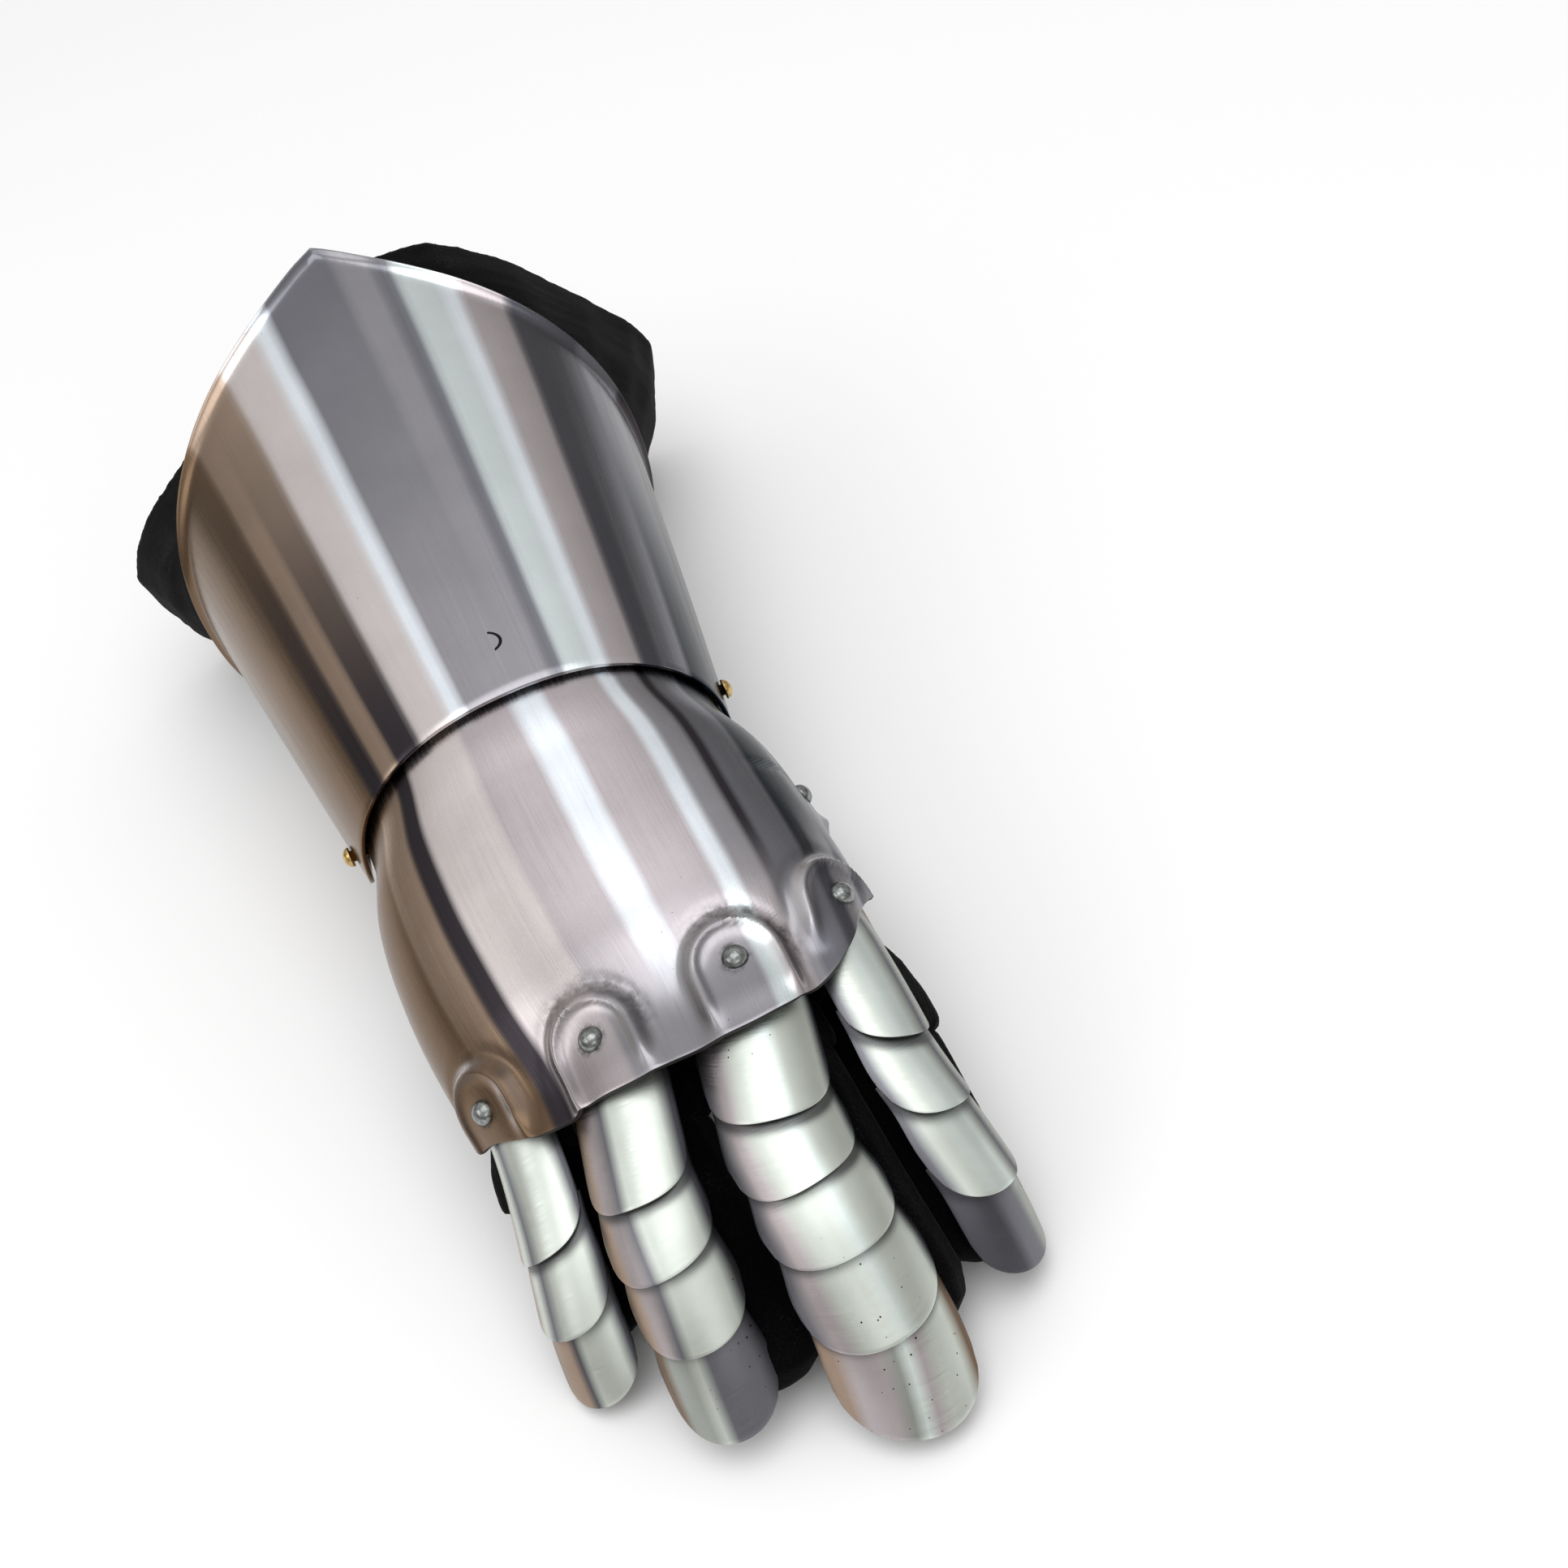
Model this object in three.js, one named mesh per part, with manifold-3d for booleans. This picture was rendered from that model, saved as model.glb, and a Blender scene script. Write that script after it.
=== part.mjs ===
// Armoured gauntlet for a right hand: a flared steel cuff hinged on a steel hand plate, with steel
// lames down every finger and the thumb, over a soft leather glove with a wide cuff of its own.
// Millimetres. X points to the thumb side, -Y to the fingertips, +Z up.
// The working origin lies in the wrist; the cuff swings about a line along X, just above and behind it.
import * as THREE from 'three';
import { mergeVertices } from 'three/addons/utils/BufferGeometryUtils.js';
import Module from 'manifold-3d';

const wasm = await Module();
wasm.setup();

// ---------------------------------------------------------------- driving dimensions
const PLATE_WALL = 1.2;
const LAME_WALL = 1.0;
const LEATHER_WALL = 1.8;
const GAP = 0.3;
// Facets that move the surface by less than this are merged.
const FACET_SLACK = 0.14;

// The line through both wrist rivets.
const WRIST_AXIS = { y: 1.5, z: 1 };

// Steel cuff: oval sections along the forearm.
// Columns: y, centre x, centre z, half width, half height.
const CUFF_ROWS = [
  [-8, -0.3, -3.4, 51, 42.9],
  [62, -1, 5, 61.4, 51.4],
  [132, -1.9, 13.4, 71, 57.6],
  [168, -2.4, 17.6, 74.5, 59.4],
];
const CUFF_SQUARENESS = 2.2;
const CUFF_LEAN = THREE.MathUtils.degToRad(6.5);
const CUFF_LENGTH = 140;
// Where the rim and the wrist edge lie, by the angle from the top of the cuff.
// Columns: degrees from the top, y of the rim, y of the wrist edge.
const CUFF_EDGE_ROWS = [
  [0, 161, -8],
  [8, 150.5, -8],
  [18, 140, -8],
  [30, 130, -8],
  [47, 118, -8],
  [61, 110, -8],
  [76, 102, -8],
  [91, 96, -7],
  [104, 92, 6],
  [120, 90, 26],
  [140, 90, 35],
  [180, 90, 37],
];
const CUFF_PEAK_TURN = THREE.MathUtils.degToRad(2.5);
const LIP_RADIUS = 6;
const LIP_TURN = THREE.MathUtils.degToRad(50);

// Hand plate: arched sections across the back of the hand, leaning up to the thumb side.
// Columns: y, centre x, centre z, half width, height of the arch, lean, squareness.
const HAND_ROWS = [
  [24, 0, -3, 48.2, 38.2, 0, 2.2],
  [0, 0, -3.2, 49.1, 40.7, 0, 2.2],
  [-13, 0, -3.8, 49.4, 40, 0.01, 2.2],
  [-27, 0.5, -5, 54, 38, 0.03, 2.15],
  [-50, 1.2, -7, 55.7, 35, 0.07, 2.1],
  [-75, 3, -9.2, 55, 31.7, 0.11, 2.05],
  [-96, 4.5, -11.2, 52.5, 29, 0.144, 2],
  [-116, 4.5, -11.8, 51.5, 28.7, 0.144, 2],
];
const HAND_SIDE_DEPTH = 80;
const HAND_WRIST_Y = 12;
const HAND_LITTLE_SIDE = 192;
const HAND_THUMB_SIDE = -27;
// The knuckle edge, by its place across the arch from little finger (-1) to index finger (1).
// Columns: place across, y of the edge.
const KNUCKLE_EDGE_ROWS = [
  [-1.05, -78],
  [-0.97, -87],
  [-0.77, -101],
  [-0.55, -107],
  [-0.28, -111.5],
  [0, -112.5],
  [0.33, -113.5],
  [0.58, -110],
  [0.83, -100],
  [0.97, -86],
  [1.05, -77],
];
// Shallow valleys hammered between the knuckles. Columns: place across, depth.
const VALLEYS = [
  [-0.58, 2.6],
  [0.02, 1.6],
  [0.62, 2.2],
];
const VALLEY_WIDTH = 0.13;
const THUMB_SWELL = { y: -26, z: -27, rise: 8, flare: 0.3, along: 21, down: 22 };
// Side outline of the thumb lobe and the cut-out in front of it. Columns: y, z.
const THUMB_OUTLINE = [
  [16, -19],
  [0, -27],
  [-14, -35],
  [-25, -37.5],
  [-35, -34],
  [-41.5, -25],
  [-42.5, -15],
  [-44.5, -10.5],
  [-55, -8.5],
  [-72, -7.5],
  [-86, -4.5],
  [-100, -3],
];
const LITTLE_OUTLINE = [
  [16, -14],
  [-30, -18],
  [-70, -19],
  [-100, -16],
];

// Knuckle rivets, on the hand plate. Columns: y, angle round the arch in degrees (90 at the top),
// how far the first lame runs back past the rivet, and how deep below the plate it lies.
const KNUCKLES = {
  little: [-88.5, 154, 6, 0.35],
  ring: [-96, 111, 6, 0.35],
  middle: [-96.6, 70.5, 6, 0.35],
  index: [-86.3, 29, 6, 0.35],
  thumb: [-25, -11, 4, 1.4],
};
const BOSS_RADIUS = 10.2;
const BOSS_WIDTH = 5.6;
const BOSS_HEIGHT = 2;
const BOSS_SUNK = 0.3;
// Which way each boss opens, as a turn of the boss on the plate in degrees, and how long its legs are.
const BOSSES = {
  little: { turn: 8, legs: 9 },
  ring: { turn: 0, legs: 10 },
  middle: { turn: 0, legs: 10 },
  index: { turn: 0, legs: 8 },
  thumb: { turn: 35, legs: 3 },
};

// Lames: the top of each rounded tip, the width there, and the roll to the thumb side.
// Columns: x, y, z, width, roll in degrees, how much narrower the root is made to swing sideways.
const LAMES = {
  little: [
    [-45.4, -122.2, -18.4, 23, -33, 0],
    [-47.6, -136.4, -29.8, 23.5, -28, 0],
    [-47, -146.8, -45, 23, -24, 0],
  ],
  ring: [
    [-20.6, -133.1, 1.2, 25.5, -14, 0],
    [-20, -147.2, -7.3, 26, -12, 0],
    [-21.2, -159.8, -20.2, 26.2, -11, 1.5],
    [-21.6, -171.6, -39.7, 25.3, -10, 3],
  ],
  middle: [
    [15.2, -133, 8.4, 28, 6, 0],
    [17.2, -147.4, 2.2, 29, 5, 0],
    [18.4, -161.3, -8.2, 30.5, 4, 1],
    [19.8, -175.4, -23.6, 32, 3, 1],
    [15.4, -188.2, -43.5, 32, 2, 0],
  ],
  index: [
    [51.4, -121.5, -1.7, 24, 38, 0],
    [54.2, -137.1, -10.7, 24.5, 36, 0],
    [57, -152.3, -24.9, 25.5, 33, 0],
    [56.8, -163, -42.3, 25, 30, 0],
  ],
  thumb: [
    [56.4, -41, -38, 20.4, 76, 0],
    [51.6, -57, -43.5, 20.5, 74, 13],
  ],
};
const LAME_ARCH = THREE.MathUtils.degToRad(55);
// How far each lame reaches back under the one before, at most, and as a share of that one's length.
const LAME_OVERLAP = { most: 9, share: 0.25 };
const LAME_STEP = LAME_WALL + 0.7;
const LAME_SIDE_EASE = 1.2;
const LAME_TIP = 12.5;
const LAME_TIP_POWER = 2.15;
const LAME_TAB_WIDTH = 15;
const LAME_TAB_ARCH = THREE.MathUtils.degToRad(22);

const STEEL_RIVET = { head: 3.15, rise: 2.3, shank: 1.5, burr: 2.6, burrThick: 1.1 };
const BRASS_RIVET = { head: 2.75, rise: 2.2, shank: 1.5, burr: 2.5, burrThick: 1 };
const HOLE_RADIUS = 1.8;
const BURR_EASE = 0.35;

// Leather glove: the hand follows the hand plate from inside; the palm has its own depth.
const GLOVE_EASE_SIDE = 6;
const GLOVE_EASE_TOP = 6.6;
const GLOVE_SQUARENESS = 2.4;
// Columns: y, depth of the palm below the middle of the arch.
const PALM_ROWS = [
  [24, 33],
  [0, 32],
  [-25, 28],
  [-50, 20],
  [-75, 12],
  [-99, 5],
];
const PALM_NARROWING = 0.14;
const HAND_END_Y = -100;
const HAND_END_ROUND = 13;
// Columns: y, centre z, half width, height above it, depth below it, squareness.
const GLOVE_CUFF_ROWS = [
  [10, -1, 43.4, 33.5, 33.5, 2.4],
  [50, -0.5, 52, 37, 37, 2.4],
  [90, 0.5, 57.8, 38.5, 35.5, 2.35],
  [125, 0, 72, 42.5, 40.5, 2.1],
  [160, -3.5, 85, 48, 46, 1.65],
  [184, -5, 91, 53, 45, 1.5],
];
const GLOVE_END = { slant: 0.05, bow: -0.0021, from: 90 };
const GLOVE_SEAM_Y = 20;
const GLOVE_LAP = 6;
// Glove fingers, from inside the hand to the tip. Columns: x, y, z, half width, half height.
const GLOVE_FINGERS = {
  little: [
    [-34, -78, -12, 9.5, 9],
    [-37, -99, -27, 9.5, 9],
    [-38.5, -116, -38, 9.3, 8.8],
    [-38.5, -129, -41, 9, 8.6],
  ],
  ring: [
    [-13, -83, -3, 11, 10],
    [-11, -108, -11, 11, 10.5],
    [-9, -128, -21, 11, 10.5],
    [-7.2, -145, -31.5, 11, 10.5],
    [-7, -158, -39, 11, 10.5],
  ],
  middle: [
    [19, -83, 0, 11, 10],
    [20.5, -110, -7, 11.5, 10.5],
    [22, -131, -17.5, 11.5, 10.5],
    [25, -149, -30, 11.3, 10.5],
    [27.4, -162, -39.2, 10.3, 10.3],
  ],
  index: [
    [40, -76, -4, 10.5, 10],
    [45, -98, -15, 10.5, 10.5],
    [47, -120, -25, 10.5, 10.5],
    [47.8, -139, -35.4, 9.9, 10.1],
    [48.3, -152, -39.4, 9.8, 10],
  ],
  thumb: [
    [32, -12, -13, 12, 12],
    [38.5, -28, -24, 11, 11],
    [38, -44, -33, 9.8, 10],
    [33.5, -58, -39.5, 9.6, 9.6],
  ],
};
// How far along each finger its seam with the hand lies, from 0 at its root to 1 at its tip.
const SEAM_RADIUS = 12;
const FINGER_SEAMS = { little: 0.48, ring: 0.35, middle: 0.33, index: 0.46 };

// ---------------------------------------------------------------- finishes
const finish = (color, roughness, metalness) => new THREE.MeshStandardMaterial({ color, roughness, metalness });
const cuffSteel = finish(0x9a9696, 0.3, 1);
const plateSteel = finish(0x9c9898, 0.32, 1);
const lameSteel = finish(0xc2cbc9, 0.45, 1);
const rivetSteel = finish(0xb8bcbc, 0.35, 1);
const rivetBrass = finish(0xc0a468, 0.35, 1);
const blackSuede = finish(0x121316, 0.95, 0);

// ---------------------------------------------------------------- helpers
const { degToRad, lerp } = THREE.MathUtils;

// A smooth curve through the rows of a table, read at any value of the first column.
function tableCurve(rows) {
  const ordered = [...rows].sort((a, b) => a[0] - b[0]);
  const keys = ordered.map((row) => row[0]);
  const values = ordered.flatMap((row) => row.slice(1));
  const curve = new THREE.CubicInterpolant(keys, values, rows[0].length - 1);
  return (key) => Array.from(curve.evaluate(key));
}

// A closed body from a three.js geometry, with its doubled corners joined and its faces outwards.
function solidOf(geometry) {
  const bare = new THREE.BufferGeometry();
  bare.setAttribute('position', geometry.attributes.position);
  bare.setIndex(geometry.index);
  const joined = mergeVertices(bare, 1e-4);
  const points = joined.attributes.position.array;
  const faces = [];
  const source = joined.index.array;
  for (let i = 0; i < source.length; i += 3) {
    const [a, b, c] = [source[i], source[i + 1], source[i + 2]];
    if (a !== b && b !== c && c !== a) {
      faces.push(a, b, c);
    }
  }
  if (signedVolume(points, faces) < 0) {
    for (let i = 0; i < faces.length; i += 3) {
      [faces[i], faces[i + 1]] = [faces[i + 1], faces[i]];
    }
  }
  const mesh = { numProp: 3, vertProperties: new Float32Array(points), triVerts: new Uint32Array(faces) };
  return new wasm.Manifold(new wasm.Mesh(mesh));
}

function signedVolume(points, faces) {
  const [a, b, c] = [new THREE.Vector3(), new THREE.Vector3(), new THREE.Vector3()];
  let total = 0;
  for (let i = 0; i < faces.length; i += 3) {
    a.fromArray(points, faces[i] * 3);
    b.fromArray(points, faces[i + 1] * 3);
    c.fromArray(points, faces[i + 2] * 3);
    total += a.dot(b.cross(c)) / 6;
  }
  return total;
}

function mapPoints(geometry, move) {
  const position = geometry.attributes.position;
  const point = new THREE.Vector3();
  for (let i = 0; i < position.count; i += 1) {
    point.fromBufferAttribute(position, i);
    const moved = move(point);
    position.setXYZ(i, moved.x, moved.y, moved.z);
  }
  return geometry;
}

// The outward normal of a surface given by two parameters.
function normalAt(surface, u, v, step = 1e-3) {
  const across = surface(u + step, v).sub(surface(u - step, v));
  const along = surface(u, v + step).sub(surface(u, v - step));
  return across.cross(along).normalize();
}

// A curved sheet: a grid laid on a surface, with its wall between two depths below it.
function sheet(columns, rows, surface, top, bottom) {
  const grid = new THREE.BoxGeometry(1, 1, 1, columns, rows, 1);
  const place = ({ x, y, z }) => {
    const depth = z > 0 ? top : bottom;
    const normal = normalAt(surface, x + 0.5, y + 0.5);
    return surface(x + 0.5, y + 0.5).addScaledVector(normal, -depth);
  };
  return solidOf(mapPoints(grid, place));
}

// A sheet that closes on itself all the way round, such as a cuff.
function ringSheet(segments, stops, surface, wall, firstTurn) {
  const outside = stops.map((stop) => new THREE.Vector2(2, stop));
  const inside = stops.map((stop) => new THREE.Vector2(1, stop)).reverse();
  const ring = new THREE.LatheGeometry([...outside, ...inside, outside[0]], segments, firstTurn);
  const place = ({ x, y, z }) => {
    const depth = (2 - Math.hypot(x, z)) * wall;
    const turn = Math.atan2(x, z);
    return surface(turn, y).addScaledVector(normalAt(surface, turn, y), -depth);
  };
  return solidOf(mapPoints(ring, place));
}

// A closed tube: each stop has a place along it and how full the section is there.
function tube(segments, stops, place) {
  const profile = stops.map(([along, fullness]) => new THREE.Vector2(fullness, along));
  const lathe = new THREE.LatheGeometry(profile, segments);
  return solidOf(mapPoints(lathe, ({ x, y, z }) => place(y, Math.atan2(x, z), Math.hypot(x, z))));
}

// An oval with a little squareness: x and z for an angle in radians, 90 degrees being the top.
function oval(angle, squareness) {
  const power = 2 / squareness;
  const c = Math.cos(angle);
  const s = Math.sin(angle);
  return [Math.sign(c) * Math.abs(c) ** power, Math.sign(s) * Math.abs(s) ** power];
}

// A flat outline in the side view, pushed along X between two places.
function sidePrism(outline, fromX, toX) {
  const shape = new THREE.Shape(outline.map(([y, z]) => new THREE.Vector2(y, z)));
  const prism = new THREE.ExtrudeGeometry(shape, { depth: toX - fromX, bevelEnabled: false });
  return solidOf(mapPoints(prism, ({ x, y, z }) => new THREE.Vector3(fromX + z, x, y)));
}

function smoothOutline(points, steps) {
  const curve = new THREE.CatmullRomCurve3(points.map(([y, z]) => new THREE.Vector3(y, z, 0)));
  return curve.getPoints(steps).map((point) => [point.x, point.y]);
}

// The turn that carries +Z onto a direction, at a place.
function placing(position, direction) {
  const turn = new THREE.Quaternion().setFromUnitVectors(new THREE.Vector3(0, 0, 1), direction);
  return new THREE.Matrix4().compose(position, turn, new THREE.Vector3(1, 1, 1));
}

// ---------------------------------------------------------------- steel cuff
const cuffRow = tableCurve(CUFF_ROWS);
const cuffEdge = tableCurve(CUFF_EDGE_ROWS);

function cuffSection(turn, y) {
  const [centreX, centreZ, halfWidth, halfHeight] = cuffRow(y);
  const [across, up] = oval(Math.PI / 2 - turn, CUFF_SQUARENESS);
  const lean = CUFF_LEAN * (y - CUFF_ROWS[0][0]) / CUFF_LENGTH;
  const rise = up * halfHeight;
  return new THREE.Vector3(centreX + across * halfWidth, y - rise * Math.sin(lean), centreZ + rise * Math.cos(lean));
}

// From 0 at the wrist edge to 1 at the rim, and on to 2 round the rolled lip.
function cuffSurface(turn, along) {
  const fromPeak = turn - CUFF_PEAK_TURN;
  const degrees = THREE.MathUtils.radToDeg(Math.abs(Math.atan2(Math.sin(fromPeak), Math.cos(fromPeak))));
  const [rimY, wristY] = cuffEdge(degrees);
  if (along <= 1) {
    return cuffSection(turn, lerp(wristY, rimY, along));
  }
  const rim = cuffSection(turn, rimY);
  const forward = cuffSection(turn, rimY + 1).sub(cuffSection(turn, rimY - 1)).normalize();
  const around = cuffSection(turn + 0.01, rimY).sub(cuffSection(turn - 0.01, rimY)).normalize();
  const outward = around.cross(forward).normalize();
  const curl = LIP_TURN * (along - 1);
  rim.addScaledVector(forward, LIP_RADIUS * Math.sin(curl));
  return rim.addScaledVector(outward, LIP_RADIUS * (1 - Math.cos(curl)));
}

function buildCuff() {
  const stops = [0, 0.3, 0.6, 0.84, 1, 1.35, 1.68, 2];
  return ringSheet(38, stops, cuffSurface, PLATE_WALL, CUFF_PEAK_TURN);
}

// ---------------------------------------------------------------- hand plate
const handRow = tableCurve(HAND_ROWS);
const knuckleEdge = tableCurve(KNUCKLE_EDGE_ROWS);

function handSection(degrees, y) {
  const [centreX, centreZ, halfWidth, height, lean, squareness] = handRow(y);
  const [across, up] = oval(degToRad(degrees), squareness);
  let z = centreZ + up * (up > 0 ? height : HAND_SIDE_DEPTH) + lean * across * halfWidth;
  const nearEdge = THREE.MathUtils.smoothstep(-y, 78, 104);
  for (const [place, depth] of VALLEYS) {
    z -= depth * nearEdge * Math.exp(-(((Math.cos(degToRad(degrees)) - place) / VALLEY_WIDTH) ** 2));
  }
  const fromSwell = Math.hypot((y - THUMB_SWELL.y) / THUMB_SWELL.along, (z - THUMB_SWELL.z) / THUMB_SWELL.down);
  const swell = Math.exp(-(fromSwell ** 4));
  const bulge = across > 0 ? (THUMB_SWELL.rise + THUMB_SWELL.flare * (THUMB_SWELL.z - z)) * swell : 0;
  return new THREE.Vector3(centreX + across * halfWidth + bulge, y, z);
}

// Across from the little finger side (0) to the thumb side (1), along from the knuckles to the wrist.
function handSurface(across, along) {
  const degrees = lerp(HAND_LITTLE_SIDE, HAND_THUMB_SIDE, across);
  const place = Math.cos(degToRad(degrees));
  const [edgeY] = knuckleEdge(place);
  return handSection(degrees, lerp(edgeY, HAND_WRIST_Y, along));
}

// A point of the plate's outside near a knuckle rivet, and the way out of the plate there.
function onPlate(name, across = 0, back = 0) {
  const [y, degrees] = KNUCKLES[name];
  const spanDegrees = handSection(degrees + 0.5, y).distanceTo(handSection(degrees - 0.5, y));
  const spanAlong = handSection(degrees, y + 0.5).distanceTo(handSection(degrees, y - 0.5));
  const here = [degrees - across / spanDegrees, y + back / spanAlong];
  const point = handSection(...here);
  const toThumb = handSection(here[0] - 0.5, here[1]).sub(handSection(here[0] + 0.5, here[1]));
  const toWrist = handSection(here[0], here[1] + 0.5).sub(handSection(here[0], here[1] - 0.5));
  return { point, normal: toThumb.cross(toWrist).normalize() };
}

// The middle line of a boss, in the plane of the plate: up one leg, round the rivet and down the other.
function bossLine(legs, along) {
  const round = Math.PI * BOSS_RADIUS;
  const walked = along * (2 * legs + round);
  if (walked < legs) {
    return { x: -BOSS_RADIUS, y: walked - legs, outX: -1, outY: 0 };
  }
  if (walked > legs + round) {
    return { x: BOSS_RADIUS, y: legs + round - walked, outX: 1, outY: 0 };
  }
  const angle = Math.PI - (walked - legs) / BOSS_RADIUS;
  const [outX, outY] = [Math.cos(angle), Math.sin(angle)];
  return { x: BOSS_RADIUS * outX, y: BOSS_RADIUS * outY, outX, outY };
}

// The raised horseshoe round the wrist side of a knuckle rivet.
function bossRoll(name) {
  const { turn, legs } = BOSSES[name];
  const [c, s] = [Math.cos(degToRad(turn)), Math.sin(degToRad(turn))];
  const strip = new THREE.BoxGeometry(1, 1, 1, 4, 9, 1);
  return solidOf(mapPoints(strip, ({ x, y, z }) => {
    const line = bossLine(legs, y + 0.5);
    const across = line.x + line.outX * x * BOSS_WIDTH;
    const back = line.y + line.outY * x * BOSS_WIDTH;
    const { point, normal } = onPlate(name, across * c + back * s, back * c - across * s);
    const height = z > 0 ? (BOSS_HEIGHT + BOSS_SUNK) * Math.cos(x * Math.PI) - BOSS_SUNK : -2 * BOSS_SUNK;
    return point.addScaledVector(normal, height);
  }));
}

function plateTrim() {
  const thumbCut = [...smoothOutline(THUMB_OUTLINE, 40), [-140, -3], [-140, -70], [40, -70], [40, -19]];
  const littleCut = [...LITTLE_OUTLINE, [-140, -16], [-140, -70], [40, -70], [40, -14]];
  return sidePrism(thumbCut, 20, 90).add(sidePrism(littleCut, -90, -20));
}

function buildHandPlate() {
  const plate = sheet(26, 10, handSurface, 0, PLATE_WALL);
  const rolls = Object.keys(BOSSES).map(bossRoll);
  return wasm.Manifold.union([plate, ...rolls]).subtract(plateTrim()).simplify(FACET_SLACK);
}

// ---------------------------------------------------------------- lames
// Each lame is an arched strip along a spine; the spine's roll gives the way up.
function lameSurface({ spine, startUp, endUp, start, end }) {
  return (across, along) => {
    const u = 2 * across - 1;
    const edge = 1 - LAME_TIP / spine.getLength() * (1 - (1 - Math.min(1, Math.abs(u)) ** LAME_TIP_POWER) ** (1 / LAME_TIP_POWER));
    const reach = THREE.MathUtils.clamp((1 - along) * edge, 0, 1);
    const beyond = (1 - along) * edge - reach;
    const direction = spine.getTangent(reach);
    const point = spine.getPoint(reach).addScaledVector(direction, beyond * spine.getLength());
    const normal = startUp.clone().lerp(endUp, reach);
    normal.addScaledVector(direction, -normal.dot(direction)).normalize();
    const side = normal.clone().cross(direction);
    const grown = THREE.MathUtils.smoothstep(reach, start.growsAt, start.fullAt);
    const arch = lerp(start.arch, LAME_ARCH, grown);
    const radius = lerp(start.width, end.width, grown) / 2 / Math.sin(arch);
    const angle = u * arch;
    return point.addScaledVector(side, radius * Math.sin(angle)).addScaledVector(normal, radius * (Math.cos(angle) - 1));
  };
}

// One finger's lames, each starting under the one before it; the first starts under the hand plate.
function lameChain(name) {
  const chain = [];
  const { point, normal } = onPlate(name);
  const [, , firstTail, seat] = KNUCKLES[name];
  let under = point.clone().addScaledVector(normal, -(PLATE_WALL + seat));
  let way = null;
  let overlap = 0;
  let startUp = normal;
  let start = { width: LAME_TAB_WIDTH, arch: LAME_TAB_ARCH, growsAt: 0.22, fullAt: 0.46 };
  LAMES[name].forEach(([x, y, z, width, roll, rootEase], i) => {
    start.width -= rootEase;
    const tip = new THREE.Vector3(x, y, z);
    const endUp = new THREE.Vector3(Math.sin(degToRad(roll)), 0, Math.cos(degToRad(roll)));
    const straight = tip.clone().sub(under);
    way = way ?? straight.clone().addScaledVector(normal, -straight.dot(normal)).normalize();
    const [tail, follow] = i === 0 ? [firstTail, straight.length() * 0.45] : [overlap, 1.5];
    const from = under.clone().addScaledVector(way, -tail);
    const bend = under.clone().addScaledVector(way, follow);
    const spine = new THREE.QuadraticBezierCurve3(from, bend, tip);
    chain.push({ spine, startUp, endUp, start, end: { width } });
    overlap = Math.min(LAME_OVERLAP.most, LAME_OVERLAP.share * spine.getLength());
    way = spine.getTangent(1);
    const tipNormal = endUp.clone().addScaledVector(way, -endUp.dot(way)).normalize();
    under = tip.clone().addScaledVector(tipNormal, -LAME_STEP);
    startUp = tipNormal;
    const rootWidth = width - 2 * LAME_STEP * Math.sin(LAME_ARCH) - LAME_SIDE_EASE;
    start = { width: rootWidth, arch: LAME_ARCH, growsAt: 0.2, fullAt: 0.62 };
  });
  return chain;
}

// ---------------------------------------------------------------- rivets
// A domed rivet along +Z from the plate's outside at zero, through a stack of the given thickness.
function rivet({ head, rise, shank, burr, burrThick }, stack) {
  const profile = [new THREE.Vector2(0, -stack - burrThick), new THREE.Vector2(burr, -stack - burrThick)];
  profile.push(new THREE.Vector2(burr, -stack), new THREE.Vector2(shank, -stack), new THREE.Vector2(shank, GAP));
  profile.push(new THREE.Vector2(head, GAP));
  for (let degrees = 18; degrees < 90; degrees += 32) {
    const angle = degToRad(degrees);
    profile.push(new THREE.Vector2(head * Math.cos(angle), GAP + rise * Math.sin(angle)));
  }
  profile.push(new THREE.Vector2(0, GAP + rise));
  const lathe = new THREE.LatheGeometry(profile, 9);
  return solidOf(lathe.rotateX(Math.PI / 2));
}

function hole(length) {
  return solidOf(new THREE.CylinderGeometry(HOLE_RADIUS, HOLE_RADIUS, length, 8).rotateX(Math.PI / 2));
}

function moved(solid, matrix) {
  return solid.transform(matrix.elements);
}

// ---------------------------------------------------------------- glove
const palmDepth = tableCurve(PALM_ROWS);
const gloveCuffRow = tableCurve(GLOVE_CUFF_ROWS);

function gloveHandPoint(y, turn, fullness, inset) {
  const [centreX, centreZ, halfWidth, height, lean] = handRow(y);
  const [depth] = palmDepth(y);
  const [across, up] = oval(Math.PI / 2 - turn, GLOVE_SQUARENESS);
  const narrowing = 1 + PALM_NARROWING * Math.min(0, up);
  const wide = (halfWidth - GLOVE_EASE_SIDE - inset) * fullness * narrowing;
  const tall = ((up > 0 ? height - GLOVE_EASE_TOP : depth) - inset) * fullness;
  return new THREE.Vector3(centreX + across * wide, y, centreZ + up * tall + lean * across * wide);
}

function gloveHand(inset) {
  const endY = HAND_END_Y + inset;
  const wristY = GLOVE_SEAM_Y + GLOVE_LAP - 1.5 * inset;
  const stops = [[wristY, 0], [wristY, 1], [0, 1], [-22, 1], [-44, 1], [-66, 1]];
  for (const degrees of [0, 35, 62]) {
    const y = endY + HAND_END_ROUND * (1 - Math.sin(degToRad(degrees)));
    stops.push([y, Math.cos(degToRad(degrees)) ** 0.5]);
  }
  stops.push([endY, 0]);
  return tube(18, stops, (y, turn, fullness) => gloveHandPoint(y, turn, fullness, inset));
}

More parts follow.
